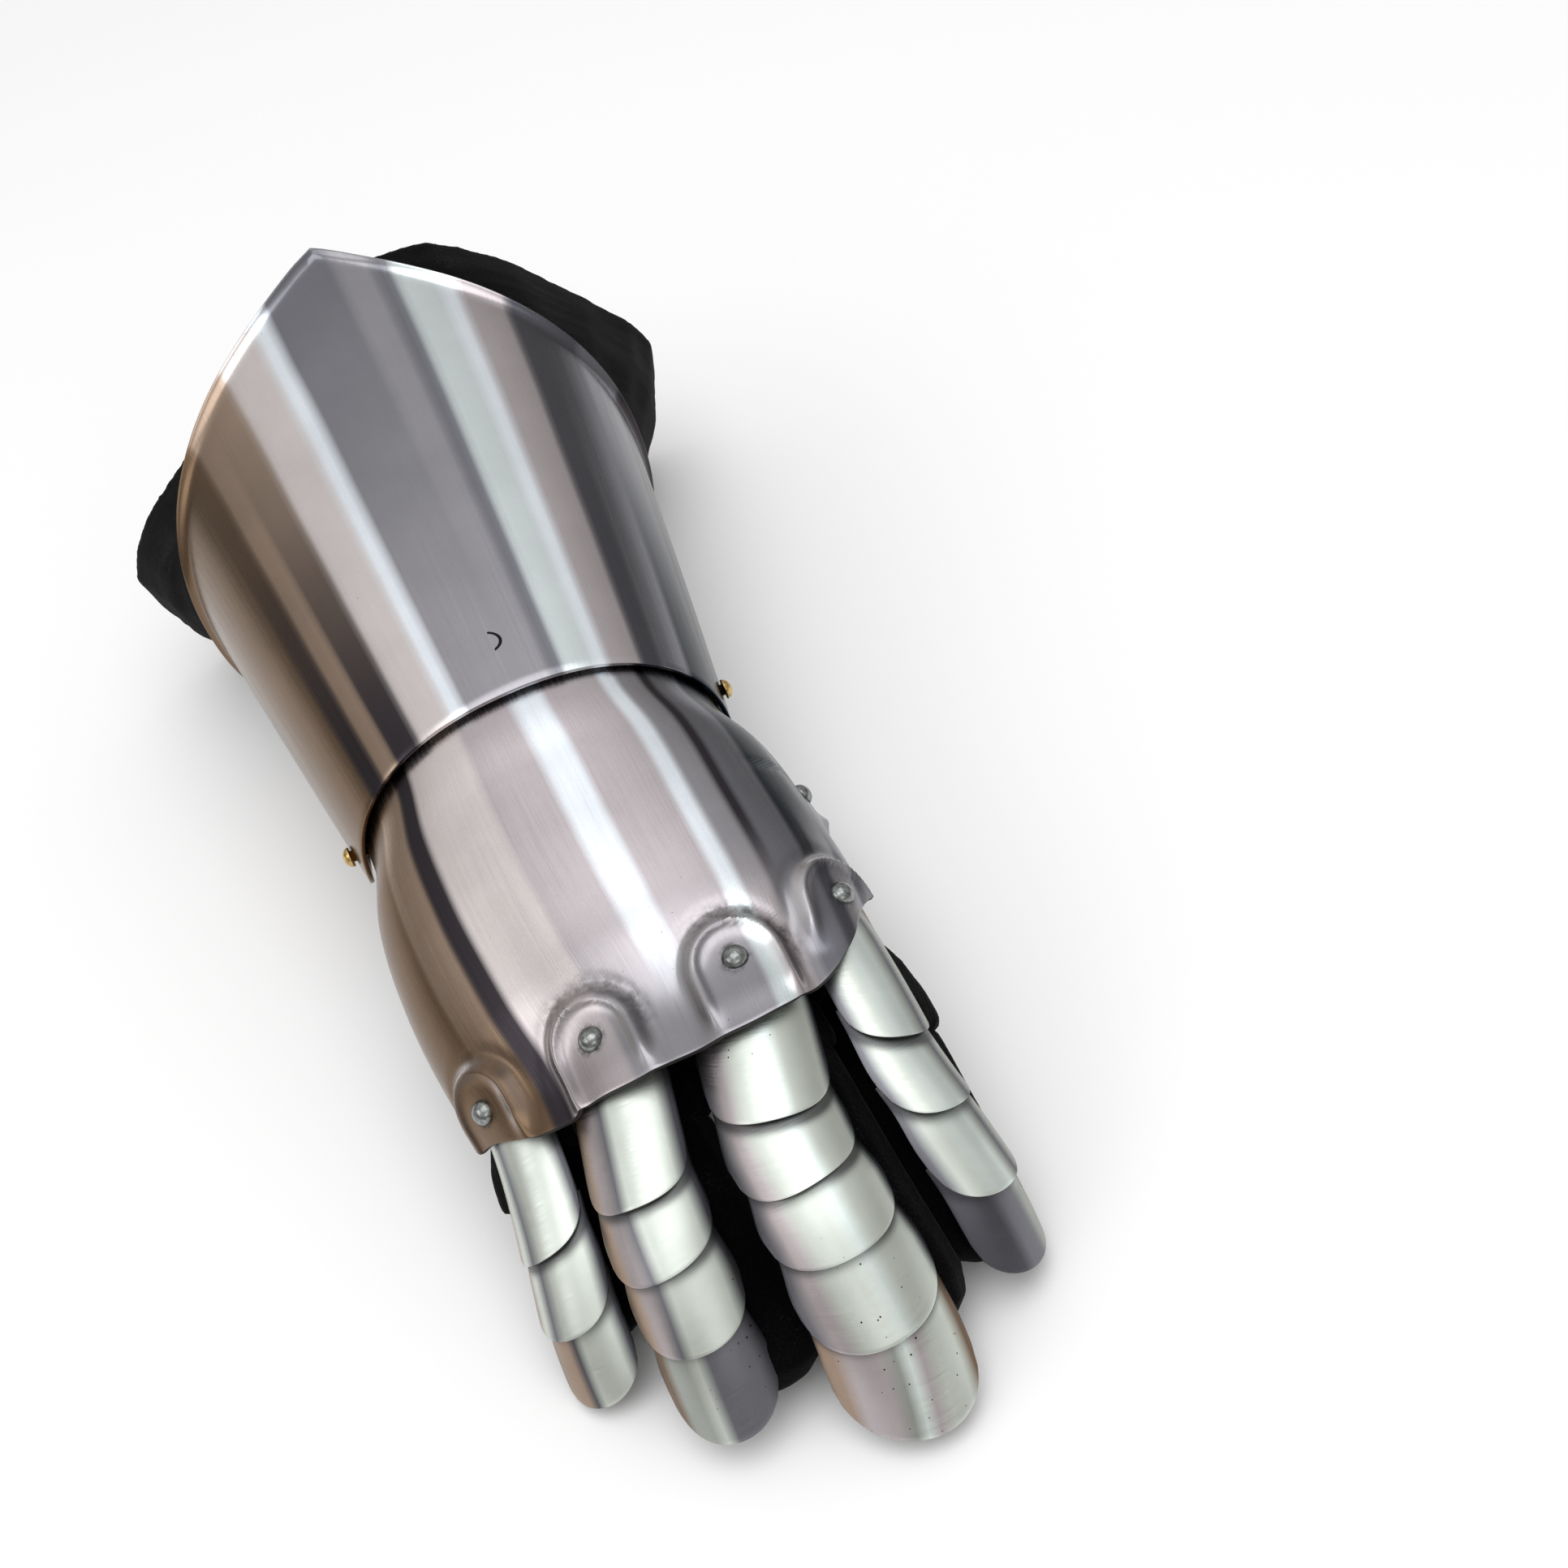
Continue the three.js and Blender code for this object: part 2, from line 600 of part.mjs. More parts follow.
function gloveCuff(inset) {
  const lastY = GLOVE_CUFF_ROWS.at(-1)[0] + (inset > 0 ? 5 : 0);
  const firstY = GLOVE_SEAM_Y - GLOVE_LAP + 1.5 * inset;
  const stops = [[firstY, 0]];
  for (const y of [firstY, 50, 100, 125, 150, lastY]) {
    stops.push([y, 1]);
  }
  stops.push([lastY, 0]);
  return tube(24, stops, (y, turn, fullness) => {
    const [centreZ, halfWidth, above, below, squareness] = gloveCuffRow(y);
    const [across, up] = oval(Math.PI / 2 - turn, Math.cos(turn) > 0 ? squareness : GLOVE_SQUARENESS);
    const share = THREE.MathUtils.smoothstep(y, GLOVE_END.from, lastY);
    const x = across * (halfWidth - inset) * fullness;
    const slide = share * (GLOVE_END.slant * x + GLOVE_END.bow * x * x);
    const z = centreZ + up * ((up > 0 ? above : below) - inset) * fullness;
    return new THREE.Vector3(x, y + slide, z);
  });
}

function fingerPath(name) {
  return new THREE.CatmullRomCurve3(GLOVE_FINGERS[name].map(([x, y, z]) => new THREE.Vector3(x, y, z)));
}

function gloveFinger(name, inset) {
  const rows = GLOVE_FINGERS[name];
  const path = fingerPath(name);
  const length = path.getLength();
  const sizes = tableCurve(rows.map((row, i) => [i / (rows.length - 1), row[3], row[4]]));
  const tipRadius = rows.at(-1)[4] - inset;
  const root = inset > 0 ? 0.06 : 0;
  const stops = [[root, 0], [root, 1], [0.36, 1], [0.68, 1]];
  for (const degrees of [0, 38, 68, 90]) {
    const angle = degToRad(degrees);
    stops.push([1 - (tipRadius * 0.35 - tipRadius * 0.9 * Math.sin(angle)) / length, Math.cos(angle)]);
  }
  return tube(10, stops, (along, turn, fullness) => {
    const reach = Math.min(1, along);
    const direction = path.getTangentAt(reach);
    const centre = path.getPointAt(reach).addScaledVector(direction, (along - reach) * length);
    const side = new THREE.Vector3(0, 0, 1).cross(direction).normalize();
    const up = direction.clone().cross(side);
    const [halfWidth, halfHeight] = sizes(reach);
    centre.addScaledVector(side, Math.sin(turn) * (halfWidth - inset) * fullness);
    return centre.addScaledVector(up, Math.cos(turn) * (halfHeight - inset) * fullness);
  });
}

// The glove is sewn from a cuff, a hand, four fingers and a thumb. The thumb is set into a hole in the hand;
// the rest is one hollow shell, parted at its seams.
function buildGlove() {
  const fingers = Object.keys(FINGER_SEAMS);
  const shell = (inset) => {
    const parts = [gloveHand(inset), gloveCuff(inset), ...fingers.map((name) => gloveFinger(name, inset))];
    return wasm.Manifold.union(parts);
  };
  const thumbHollow = gloveFinger('thumb', LEATHER_WALL);
  const thumbShell = gloveFinger('thumb', 0).subtract(thumbHollow).subtract(gloveHand(-GAP));
  const hollow = shell(0).subtract(shell(LEATHER_WALL)).subtract(thumbHollow).simplify(FACET_SLACK);
  const seams = Object.entries(FINGER_SEAMS).map(([name, place]) => {
    const path = fingerPath(name);
    const disc = new THREE.CylinderGeometry(SEAM_RADIUS, SEAM_RADIUS, GAP, 12).rotateX(Math.PI / 2);
    return moved(solidOf(disc), placing(path.getPointAt(place), path.getTangentAt(place)));
  });
  const wristSeam = new THREE.BoxGeometry(260, GAP, 200).translate(0, GLOVE_SEAM_Y, 0);
  const parts = hollow.subtract(wasm.Manifold.union([...seams, solidOf(wristSeam)])).decompose();
  return [...parts, ...thumbShell.simplify(FACET_SLACK).decompose()];
}

// ---------------------------------------------------------------- assembly
const group = new THREE.Group();
group.name = 'armoured_gauntlet';

function addNode(name, solid, material, parent = group) {
  const { vertProperties, triVerts } = solid.getMesh();
  const geometry = new THREE.BufferGeometry();
  geometry.setAttribute('position', new THREE.BufferAttribute(new Float32Array(vertProperties), 3));
  geometry.setIndex(new THREE.BufferAttribute(new Uint32Array(triVerts), 1));
  const node = new THREE.Mesh(geometry, material);
  node.name = name;
  parent.add(node);
}

let cuff = buildCuff();
let plate = buildHandPlate();

// Wrist rivets: the cuff swings on them, so both lie on the X axis.
for (const [side, sign] of [['little', -1], ['thumb', 1]]) {
  const outside = cuffSection(sign * Math.PI / 2, WRIST_AXIS.y).x + sign * GAP;
  const inside = handSection(sign > 0 ? 0 : 180, WRIST_AXIS.y).x - sign * PLATE_WALL;
  const seat = new THREE.Vector3(outside, WRIST_AXIS.y, WRIST_AXIS.z);
  const matrix = placing(seat, new THREE.Vector3(sign, 0, 0));
  const stack = Math.abs(outside - inside) + GAP + BURR_EASE;
  addNode(`wrist_rivet_${side}_side`, moved(rivet(BRASS_RIVET, stack), matrix), rivetBrass);
  cuff = cuff.subtract(moved(hole(16), matrix));
  plate = plate.subtract(moved(hole(16), matrix));
}

for (const name of Object.keys(LAMES)) {
  const { point, normal } = onPlate(name);
  const matrix = placing(point, normal);
  const stack = PLATE_WALL + KNUCKLES[name][3] + LAME_WALL + GAP + BURR_EASE;
  plate = plate.subtract(moved(hole(12), matrix));
  addNode(`${name}_rivet`, moved(rivet(STEEL_RIVET, stack), matrix), rivetSteel);
  lameChain(name).forEach((lame, i) => {
    let strip = sheet(6, 4, lameSurface(lame), 0, LAME_WALL);
    strip = i === 0 ? strip.subtract(moved(hole(12), matrix)) : strip;
    addNode(`${name}_lame_${i + 1}`, strip, lameSteel);
  });
}

addNode('cuff_bell', cuff, cuffSteel);
addNode('hand_plate', plate, plateSteel);

const gloveParts = buildGlove();
const partNear = ([x, y, z]) => {
  const reach = (part) => {
    const { min, max } = part.boundingBox();
    return Math.hypot((min[0] + max[0]) / 2 - x, (min[1] + max[1]) / 2 - y, (min[2] + max[2]) / 2 - z);
  };
  return gloveParts.reduce((best, part) => (reach(part) < reach(best) ? part : best));
};
addNode('glove_cuff', partNear([0, 110, 0]), blackSuede);
addNode('glove_hand', partNear([0, -40, -5]), blackSuede);
for (const name of Object.keys(GLOVE_FINGERS)) {
  addNode(`glove_${name}`, partNear(GLOVE_FINGERS[name].at(-1)), blackSuede);
}

// The finished gauntlet rests on Z = 0 with the middle of its outline over the origin.
const extent = new THREE.Box3().setFromObject(group);
const middle = extent.getCenter(new THREE.Vector3());
group.position.set(-middle.x, -middle.y, -extent.min.z);

export default group;
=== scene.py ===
# %% [markdown]
# # Dressing an armoured gauntlet
# A right-hand gauntlet lies palm down: a flared steel cuff, a steel hand plate with five raised knuckle
# bosses, overlapping steel lames down the fingers, and a black suede glove inside it all.
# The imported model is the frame. It gives every size and place; this script adds smooth surfaces and finishes.

# %% Load the frame
import math
import bmesh
import bpy
from mathutils import Matrix, Vector, noise


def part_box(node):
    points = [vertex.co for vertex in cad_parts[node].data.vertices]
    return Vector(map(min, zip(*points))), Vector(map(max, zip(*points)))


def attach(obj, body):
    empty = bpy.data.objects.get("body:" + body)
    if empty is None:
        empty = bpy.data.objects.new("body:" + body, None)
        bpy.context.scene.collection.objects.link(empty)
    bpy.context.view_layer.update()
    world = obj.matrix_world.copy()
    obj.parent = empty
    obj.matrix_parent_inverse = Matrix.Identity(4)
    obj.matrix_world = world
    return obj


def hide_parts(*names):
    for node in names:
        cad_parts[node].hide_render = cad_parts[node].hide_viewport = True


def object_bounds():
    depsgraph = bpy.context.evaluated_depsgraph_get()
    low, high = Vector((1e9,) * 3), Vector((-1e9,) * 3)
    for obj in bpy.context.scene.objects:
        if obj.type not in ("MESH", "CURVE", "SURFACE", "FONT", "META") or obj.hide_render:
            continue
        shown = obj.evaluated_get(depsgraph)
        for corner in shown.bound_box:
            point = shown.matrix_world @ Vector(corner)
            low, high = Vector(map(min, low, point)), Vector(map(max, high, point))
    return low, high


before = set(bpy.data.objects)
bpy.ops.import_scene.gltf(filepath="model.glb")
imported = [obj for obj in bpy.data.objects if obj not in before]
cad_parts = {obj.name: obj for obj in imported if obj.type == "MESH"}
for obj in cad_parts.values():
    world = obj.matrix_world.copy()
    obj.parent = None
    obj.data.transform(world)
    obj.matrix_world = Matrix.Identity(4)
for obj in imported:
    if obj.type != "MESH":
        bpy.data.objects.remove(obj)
cad_box = [list(corner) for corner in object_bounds()]
MM = 0.001

# %% [markdown]
# The real gauntlet is hinged at the wrist, so the wrist is the natural place to measure from. The two brass
# rivets lie on that hinge line, and the middle between them gives the wrist centre.

# %% Find the wrist
def middle_of(node):
    low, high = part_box(node)
    return (Vector(low) + Vector(high)) / 2

HINGE_ABOVE = Vector((0, 1.5, 1)) * MM
WRIST = (middle_of("wrist_rivet_little_side") + middle_of("wrist_rivet_thumb_side")) / 2 - HINGE_ABOVE
WRIST.x = 0
print("wrist", [round(v, 4) for v in WRIST])

# %% [markdown]
# Steel plates are bent from sheet, so each one here is a flat grid that is bent once by a function and then
# given its wall. Smooth curves through short tables describe the bend. They pass through the same sections
# as the frame's own solids, so the smooth plates lie where the frame's plates lie.

# %% Curves through tables, and ovals
def table_curve(rows):
    rows = sorted(rows)
    keys = [row[0] for row in rows]
    last = len(rows) - 1

    def read(key):
        i = next((k for k in range(1, last) if key < keys[k]), last)
        t0, t1 = keys[i - 1], keys[i]
        before, row_before = (keys[i - 2], rows[i - 2]) if i > 1 else (t1, rows[i])
        after, row_after = (keys[i + 1], rows[i + 1]) if i < last else (t0, rows[i - 1])
        half = (t1 - t0) / 2
        wb, wa = half / (t0 - before), half / (after - t1)
        p = (key - t0) / (t1 - t0)
        shares = (
            wb * (2 * p * p - p ** 3 - p),
            (1 + wb) * p ** 3 - (1.5 + 2 * wb) * p * p + (wb - 0.5) * p + 1,
            -(1 + wa) * p ** 3 + (1.5 + wa) * p * p + 0.5 * p,
            wa * (p ** 3 - p * p),
        )
        found = zip(row_before, rows[i - 1], rows[i], row_after)
        return [sum(s * v for s, v in zip(shares, values)) for values in found][1:]

    return read


def oval(angle, squareness):
    power = 2 / squareness
    c, s = math.cos(angle), math.sin(angle)
    return math.copysign(abs(c) ** power, c), math.copysign(abs(s) ** power, s)


def smoothstep(value, low, high):
    t = min(1, max(0, (value - low) / (high - low)))
    return t * t * (3 - 2 * t)


def mix(a, b, t):
    return a + (b - a) * t

# %% [markdown]
# A grid from bmesh already has a UV map, and the UV map stays with the sheet while it is bent. The finishes
# use it later: brushing on real plates follows the sheet, not the room, and the bands of painted reflection are
# laid on it as well. Solidify gives the wall, inwards from the outer face, and a small bevel takes the
# sharpness off the cut edge as a file would.

# %% Bend a sheet and finish an object
def new_object(name, bm, body, nodes=()):
    mesh = bpy.data.meshes.new(name)
    bm.to_mesh(mesh)
    bm.free()
    mesh.shade_smooth()
    piece = bpy.data.objects.new(name, mesh)
    bpy.context.scene.collection.objects.link(piece)
    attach(piece, body)
    if nodes:
        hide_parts(*nodes)
    return piece


RESTS_ON = cad_box[0][2] + 0.3 * MM


def bent_sheet(columns, rows, place, closed=False, bands_from=None):
    bm = bmesh.new()
    uv = bm.loops.layers.uv.new("sheet")
    bmesh.ops.create_grid(bm, x_segments=columns, y_segments=rows, size=0.5, calc_uvs=True)
    if bands_from:
        across = {vert: bands_from(vert.co.x + 0.5, vert.co.y + 0.5) for vert in bm.verts}
        for face in bm.faces:
            for loop in face.loops:
                loop[uv].uv.x = across[loop.vert]
    for vert in bm.verts:
        vert.co = WRIST + place(vert.co.x + 0.5, vert.co.y + 0.5) * MM
        vert.co.z = max(vert.co.z, RESTS_ON)
    if closed:
        bmesh.ops.remove_doubles(bm, verts=bm.verts, dist=1e-6)
    return bm


def give_wall(piece, wall, edge=0.25, segments=2, cut_edge_slot=0):
    solidify = piece.modifiers.new("wall", "SOLIDIFY")
    solidify.thickness = wall * MM
    solidify.offset = -1
    solidify.use_even_offset = True
    solidify.material_offset_rim = cut_edge_slot
    bevel = piece.modifiers.new("edge", "BEVEL")
    bevel.width = edge * MM
    bevel.segments = segments
    bevel.limit_method = "ANGLE"
    bevel.angle_limit = math.radians(50)
    return piece

# %% [markdown]
# ## Steel
# Polished mild steel is grey and mirror-like, and hand finishing leaves fine brushing and a few pits. The room
# it mirrors, in bluish, pinkish and brown tones, is painted into its colour. The finish is built in layers, one
# function for each: bands of painted reflection across the sheet, clouding, painted highlights and painted
# shade at the edges with grime, a scratch and pits for the colour, then brushing and soft hammer waves for the
# roughness and the bump.

# %% Helpers for nodes and colour ramps
def node(tree, kind, at, **values):
    made = tree.nodes.new(kind)
    made.location = at
    for key, value in values.items():
        if hasattr(made, key):
            setattr(made, key, value)
        else:
            made.inputs[key.replace("_", " ")].default_value = value
    return made


def linear_colour(colour):
    linear = [(c / 255) ** 2.2 for c in colour]
    return (*linear, 1)


def ramp_of(tree, stops, at, interpolation="LINEAR"):
    ramp = node(tree, "ShaderNodeValToRGB", at)
    ramp.color_ramp.interpolation = interpolation
    elements = ramp.color_ramp.elements
    while len(elements) > 1:
        elements.remove(elements[-1])
    elements[0].position = stops[0][0]
    elements[0].color = linear_colour(stops[0][1])
    for position, colour in stops[1:]:
        elements.new(position).color = linear_colour(colour)
    return ramp


def painted_over(tree, at, under, colour, amount):
    """Mix one flat colour over another where the amount says so."""
    blend = node(tree, "ShaderNodeMix", at, data_type="RGBA")
    blend.inputs[7].default_value = colour
    tree.links.new(amount, blend.inputs[0])
    tree.links.new(under, blend.inputs[6])
    return blend.outputs[2]


def product_of(tree, at, first, second):
    times = node(tree, "ShaderNodeMath", at, operation="MULTIPLY")
    tree.links.new(first, times.inputs[0])
    tree.links.new(second, times.inputs[1])
    return times.outputs["Value"]

# %% [markdown]
# Polished plate mirrors the room in long bands. Here those reflections are painted into the base colour, and a
# few named tones are enough to mix all of them from. Each band keeps its tone up to a short blend into the next
# one.

# %% Painted reflection tones and bands
PAINTED_REFLECTION_TONES = {
    "glint": (230, 236, 242),
    "bright": (208, 200, 198),
    "cool bright": (206, 214, 214),
    "pale": (182, 174, 176),
    "middle": (148, 146, 150),
    "soft": (118, 118, 124),
    "dull": (88, 88, 94),
    "dark": (60, 56, 60),
    "deep": (34, 40, 46),
    "warm pale": (160, 140, 124),
    "warm": (114, 94, 76),
    "satin bright": (220, 230, 226),
    "satin": (202, 208, 200),
    "satin shade": (156, 160, 154),
}


def band_stops(bands, column, place_of, blend):
    stops = []
    for row, following in zip(bands, bands[1:]):
        middle, half = (row[0] + following[0]) / 2, (following[0] - row[0]) / 2
        kept = max(0, 1 - blend / abs(half))
        for side in (-1, 1):
            stops.append((place_of(middle + side * kept * half), PAINTED_REFLECTION_TONES[row[column]]))
    return stops


print("steel tones", len(PAINTED_REFLECTION_TONES))

# %% Bands that wander a little, and clouding
def banded_colour(tree, uv, place, bands, far_bands, far_range, wander):
    link = tree.links.new
    split = node(tree, "ShaderNodeSeparateXYZ", (-1200, 100))
    link(uv, split.inputs["Vector"])
    drift = node(tree, "ShaderNodeTexNoise", (-1200, -100), Scale=9.0, Detail=3.0)
    link(place, drift.inputs["Vector"])
    shift = node(tree, "ShaderNodeMapRange", (-1000, -100), To_Min=-wander, To_Max=wander)
    link(drift.outputs["Fac"], shift.inputs["Value"])
    across = node(tree, "ShaderNodeMath", (-800, 50), operation="ADD")
    link(split.outputs["X"], across.inputs[0])
    link(shift.outputs["Result"], across.inputs[1])
    near = ramp_of(tree, bands, (-600, 200))
    link(across.outputs["Value"], near.inputs["Fac"])
    if not far_bands:
        return near.outputs["Color"]
    far = ramp_of(tree, far_bands, (-600, -50))
    link(across.outputs["Value"], far.inputs["Fac"])
    reach = node(tree, "ShaderNodeMapRange", (-500, 350), interpolation_type="SMOOTHSTEP",
                 From_Min=far_range[0], From_Max=far_range[1])
    link(split.outputs["Y"], reach.inputs["Value"])
    along = node(tree, "ShaderNodeMix", (-320, 250), data_type="RGBA")
    link(reach.outputs["Result"], along.inputs[0])
    link(near.outputs["Color"], along.inputs[6])
    link(far.outputs["Color"], along.inputs[7])
    return along.outputs[2]


def clouded(tree, place, colour, clouding):
    cloud = node(tree, "ShaderNodeTexNoise", (-800, -250), Scale=38.0, Detail=8.0, Roughness=0.6)
    tree.links.new(place, cloud.inputs["Vector"])
    shade = node(tree, "ShaderNodeMapRange", (-600, -250), From_Min=0.3, From_Max=0.7)
    shade.inputs["To Min"].default_value = 1 - clouding
    shade.inputs["To Max"].default_value = 1 + clouding
    tree.links.new(cloud.outputs["Fac"], shade.inputs["Value"])
    tint = node(tree, "ShaderNodeMix", (-300, 50), data_type="RGBA", blend_type="MULTIPLY")
    tint.inputs[0].default_value = 1
    tree.links.new(colour, tint.inputs[6])
    tree.links.new(shade.outputs["Result"], tint.inputs[7])
    return tint.outputs[2]

# %% [markdown]
# Round each boss a painted highlight lies on the side that faces the light and painted shade on the other, and
# each lame carries a painted shadow line under the tip of the one before. Where, each piece says with
# attributes on its vertices. Grime, together with a painted shadow round the rivet heads, is broken up by
# noise, so that it looks settled.

# %% Painted edge highlights and shade, and grime
# Colours of the painted highlight and the painted shade at edges.
PAINTED_EDGE_HIGHLIGHT = (0.72, 0.69, 0.69, 1)
PAINTED_EDGE_SHADE = (0.05, 0.05, 0.055, 1)
# Grime round the bosses, also used for the painted shadow round the rivet heads.
GRIME_AND_SHADOW_BLACK = (0.03, 0.028, 0.026, 1)


def edge_highlight_shade_and_grime(tree, place, colour):
    # Lay the painted highlight and the painted shade where the attributes say, then the grime.
    for attribute, shown in (("painted_highlight", PAINTED_EDGE_HIGHLIGHT), ("painted_shade", PAINTED_EDGE_SHADE)):
        marked = node(tree, "ShaderNodeAttribute", (-500, 850), attribute_name=attribute)
        colour = painted_over(tree, (-300, 850), colour, shown, marked.outputs["Fac"])
    grime_and_shadow_mark = node(tree, "ShaderNodeAttribute", (-500, 450), attribute_name="grime_and_shadow")
    grime_and_shadow_patches = node(tree, "ShaderNodeTexNoise", (-500, 650), Scale=260.0, Detail=6.0, Roughness=0.7)
    tree.links.new(place, grime_and_shadow_patches.inputs["Vector"])
    patchy = node(tree, "ShaderNodeMapRange", (-300, 650), From_Min=0.42, From_Max=0.6)
    tree.links.new(grime_and_shadow_patches.outputs["Fac"], patchy.inputs["Value"])
    amount = product_of(tree, (-100, 550), grime_and_shadow_mark.outputs["Fac"], patchy.outputs["Result"])
    return painted_over(tree, (50, 350), colour, GRIME_AND_SHADOW_BLACK, amount)

# %% [markdown]
# A scratch is a short piece of a thin ring, drawn on the UV map, so it stays on the sheet. Pits are the
# middles of small cells, let through only in a few patches.

# %% A scratch, and pits
SCRATCH_BLACK = (0.015, 0.014, 0.014, 1)
PIT_BLACK = (0.012, 0.011, 0.01, 1)
SCRATCH_CUT_OFF = 0.45
PIT_SIZE = 0.17


def scratched(tree, uv, colour, scratch):
    link = tree.links.new
    centre, stretch_by, radius, half_width = scratch
    offset = node(tree, "ShaderNodeVectorMath", (-1200, 900), operation="SUBTRACT")
    offset.inputs[1].default_value = (*centre, 0)
    link(uv, offset.inputs[0])
    to_mm = node(tree, "ShaderNodeVectorMath", (-1050, 900), operation="MULTIPLY")
    to_mm.inputs[1].default_value = (*stretch_by, 0)
    link(offset.outputs["Vector"], to_mm.inputs[0])
    far_off = node(tree, "ShaderNodeVectorMath", (-900, 900), operation="LENGTH")
    link(to_mm.outputs["Vector"], far_off.inputs[0])
    on_ring = node(tree, "ShaderNodeMath", (-750, 900), operation="COMPARE")
    on_ring.inputs[1].default_value = radius
    on_ring.inputs[2].default_value = half_width
    link(far_off.outputs["Value"], on_ring.inputs[0])
    sides = node(tree, "ShaderNodeSeparateXYZ", (-900, 1050))
    link(to_mm.outputs["Vector"], sides.inputs["Vector"])
    one_side = node(tree, "ShaderNodeMath", (-750, 1050), operation="GREATER_THAN")
    one_side.inputs[1].default_value = radius * SCRATCH_CUT_OFF
    link(sides.outputs["X"], one_side.inputs[0])
    arc = product_of(tree, (-600, 950), on_ring.outputs["Value"], one_side.outputs["Value"])
    return painted_over(tree, (-150, 500), colour, SCRATCH_BLACK, arc)


def pitted(tree, place, colour, pits):
    speck = node(tree, "ShaderNodeTexVoronoi", (-800, -500), Scale=420.0)
    patch = node(tree, "ShaderNodeTexNoise", (-800, -750), Scale=22.0, Detail=2.0)
    for texture in (speck, patch):
        tree.links.new(place, texture.inputs["Vector"])
    rare = node(tree, "ShaderNodeMapRange", (-600, -750), From_Min=0.52, From_Max=0.68)
    rare.inputs["To Min"].default_value = 0
    rare.inputs["To Max"].default_value = PIT_SIZE * pits
    tree.links.new(patch.outputs["Fac"], rare.inputs["Value"])
    pit = node(tree, "ShaderNodeMath", (-400, -600), operation="LESS_THAN")
    tree.links.new(speck.outputs["Distance"], pit.inputs[0])
    tree.links.new(rare.outputs["Result"], pit.inputs[1])
    return painted_over(tree, (0, 50), colour, PIT_BLACK, pit.outputs["Value"])

# %% [markdown]
# Brushing is noise that is stretched along the sheet. It drives the roughness and a very low bump. Slow waves
# on top of it bend the reflections a little, as hammered plate does.

# %% Brushing, and the whole steel finish
def brushed(tree, uv, place, metal, roughness, brushing):
    link = tree.links.new
    stretch = node(tree, "ShaderNodeMapping", (-1000, -1000))
    stretch.inputs["Scale"].default_value = brushing
    link(uv, stretch.inputs["Vector"])
    brush = node(tree, "ShaderNodeTexNoise", (-800, -1000), Scale=1.0, Detail=6.0, Roughness=0.65)
    link(stretch.outputs["Vector"], brush.inputs["Vector"])
    rough = node(tree, "ShaderNodeMapRange", (-300, -300), From_Min=0.3, From_Max=0.7)
    rough.inputs["To Min"].default_value, rough.inputs["To Max"].default_value = roughness
    link(brush.outputs["Fac"], rough.inputs["Value"])
    link(rough.outputs["Result"], metal.inputs["Roughness"])
    fine = node(tree, "ShaderNodeBump", (0, -600), Strength=0.12, Distance=0.00025)
    link(brush.outputs["Fac"], fine.inputs["Height"])
    hammer = node(tree, "ShaderNodeTexNoise", (-300, -900), Scale=26.0, Detail=1.0)
    link(place, hammer.inputs["Vector"])
    waves = node(tree, "ShaderNodeBump", (250, -600), Strength=0.16, Distance=0.0012)
    link(hammer.outputs["Fac"], waves.inputs["Height"])
    link(fine.outputs["Normal"], waves.inputs["Normal"])
    link(waves.outputs["Normal"], metal.inputs["Normal"])


def steel_finish(name, bands, roughness, brushing, wander=0.02, clouding=0.12, pits=0.35, far_bands=None,
                 far_range=(0, 1), painted_edges_and_grime=False, scratch=None):
    material = bpy.data.materials.new(name)
    material.use_nodes = True
    tree = material.node_tree
    tree.nodes.clear()
    out = node(tree, "ShaderNodeOutputMaterial", (900, 0))
    metal = node(tree, "ShaderNodeBsdfPrincipled", (600, 0), Metallic=1.0)
    tree.links.new(metal.outputs["BSDF"], out.inputs["Surface"])
    uv = node(tree, "ShaderNodeUVMap", (-1400, 0), uv_map="sheet").outputs["UV"]
    place = node(tree, "ShaderNodeTexCoord", (-1400, -300)).outputs["Object"]
    colour = banded_colour(tree, uv, place, bands, far_bands, far_range, wander)
    colour = clouded(tree, place, colour, clouding)
    # Painted highlights and painted shade at edges, and grime.
    if painted_edges_and_grime:
        colour = edge_highlight_shade_and_grime(tree, place, colour)
    if scratch:
        colour = scratched(tree, uv, colour, scratch)
    tree.links.new(pitted(tree, place, colour, pits), metal.inputs["Base Color"])
    brushed(tree, uv, place, metal, roughness, brushing)
    return material


print("steel finish ready")

# %% [markdown]
# ## The cuff
# The real cuff is one sheet rolled into an oval tube that flares to the elbow. Its rim climbs to a point on
# top and turns outwards in a narrow flange. A spun cone would give a level rim, so a grid is used instead:
# one side of the grid runs round the forearm, the other from the wrist edge to the rim and on round the
# flange.

# %% Cuff sections and edges
PLATE_WALL = 1.2
# Columns: y, centre x, centre z, half width, half height.
CUFF_ROWS = [
    (-8, -0.3, -3.4, 51, 42.9),
    (62, -1, 5, 61.4, 51.4),
    (132, -1.9, 13.4, 71, 57.6),
    (168, -2.4, 17.6, 74.5, 59.4),
]
CUFF_SQUARENESS = 2.2
CUFF_LEAN = math.radians(6.5)
CUFF_LENGTH = 140
# Columns: degrees from the top, y of the rim, y of the wrist edge.
CUFF_EDGE_ROWS = [
    (0, 161, -8),
    (8, 150.5, -8),
    (18, 140, -8),
    (30, 130, -8),
    (47, 118, -8),
    (61, 110, -8),
    (76, 102, -8),
    (91, 96, -7),
    (104, 92, 6),
    (120, 90, 26),
    (140, 90, 35),
    (180, 90, 37),
]
CUFF_PEAK_TURN = math.radians(2.5)
LIP_RADIUS = 6
LIP_TURN = math.radians(50)
LIP_SHARE = 0.1

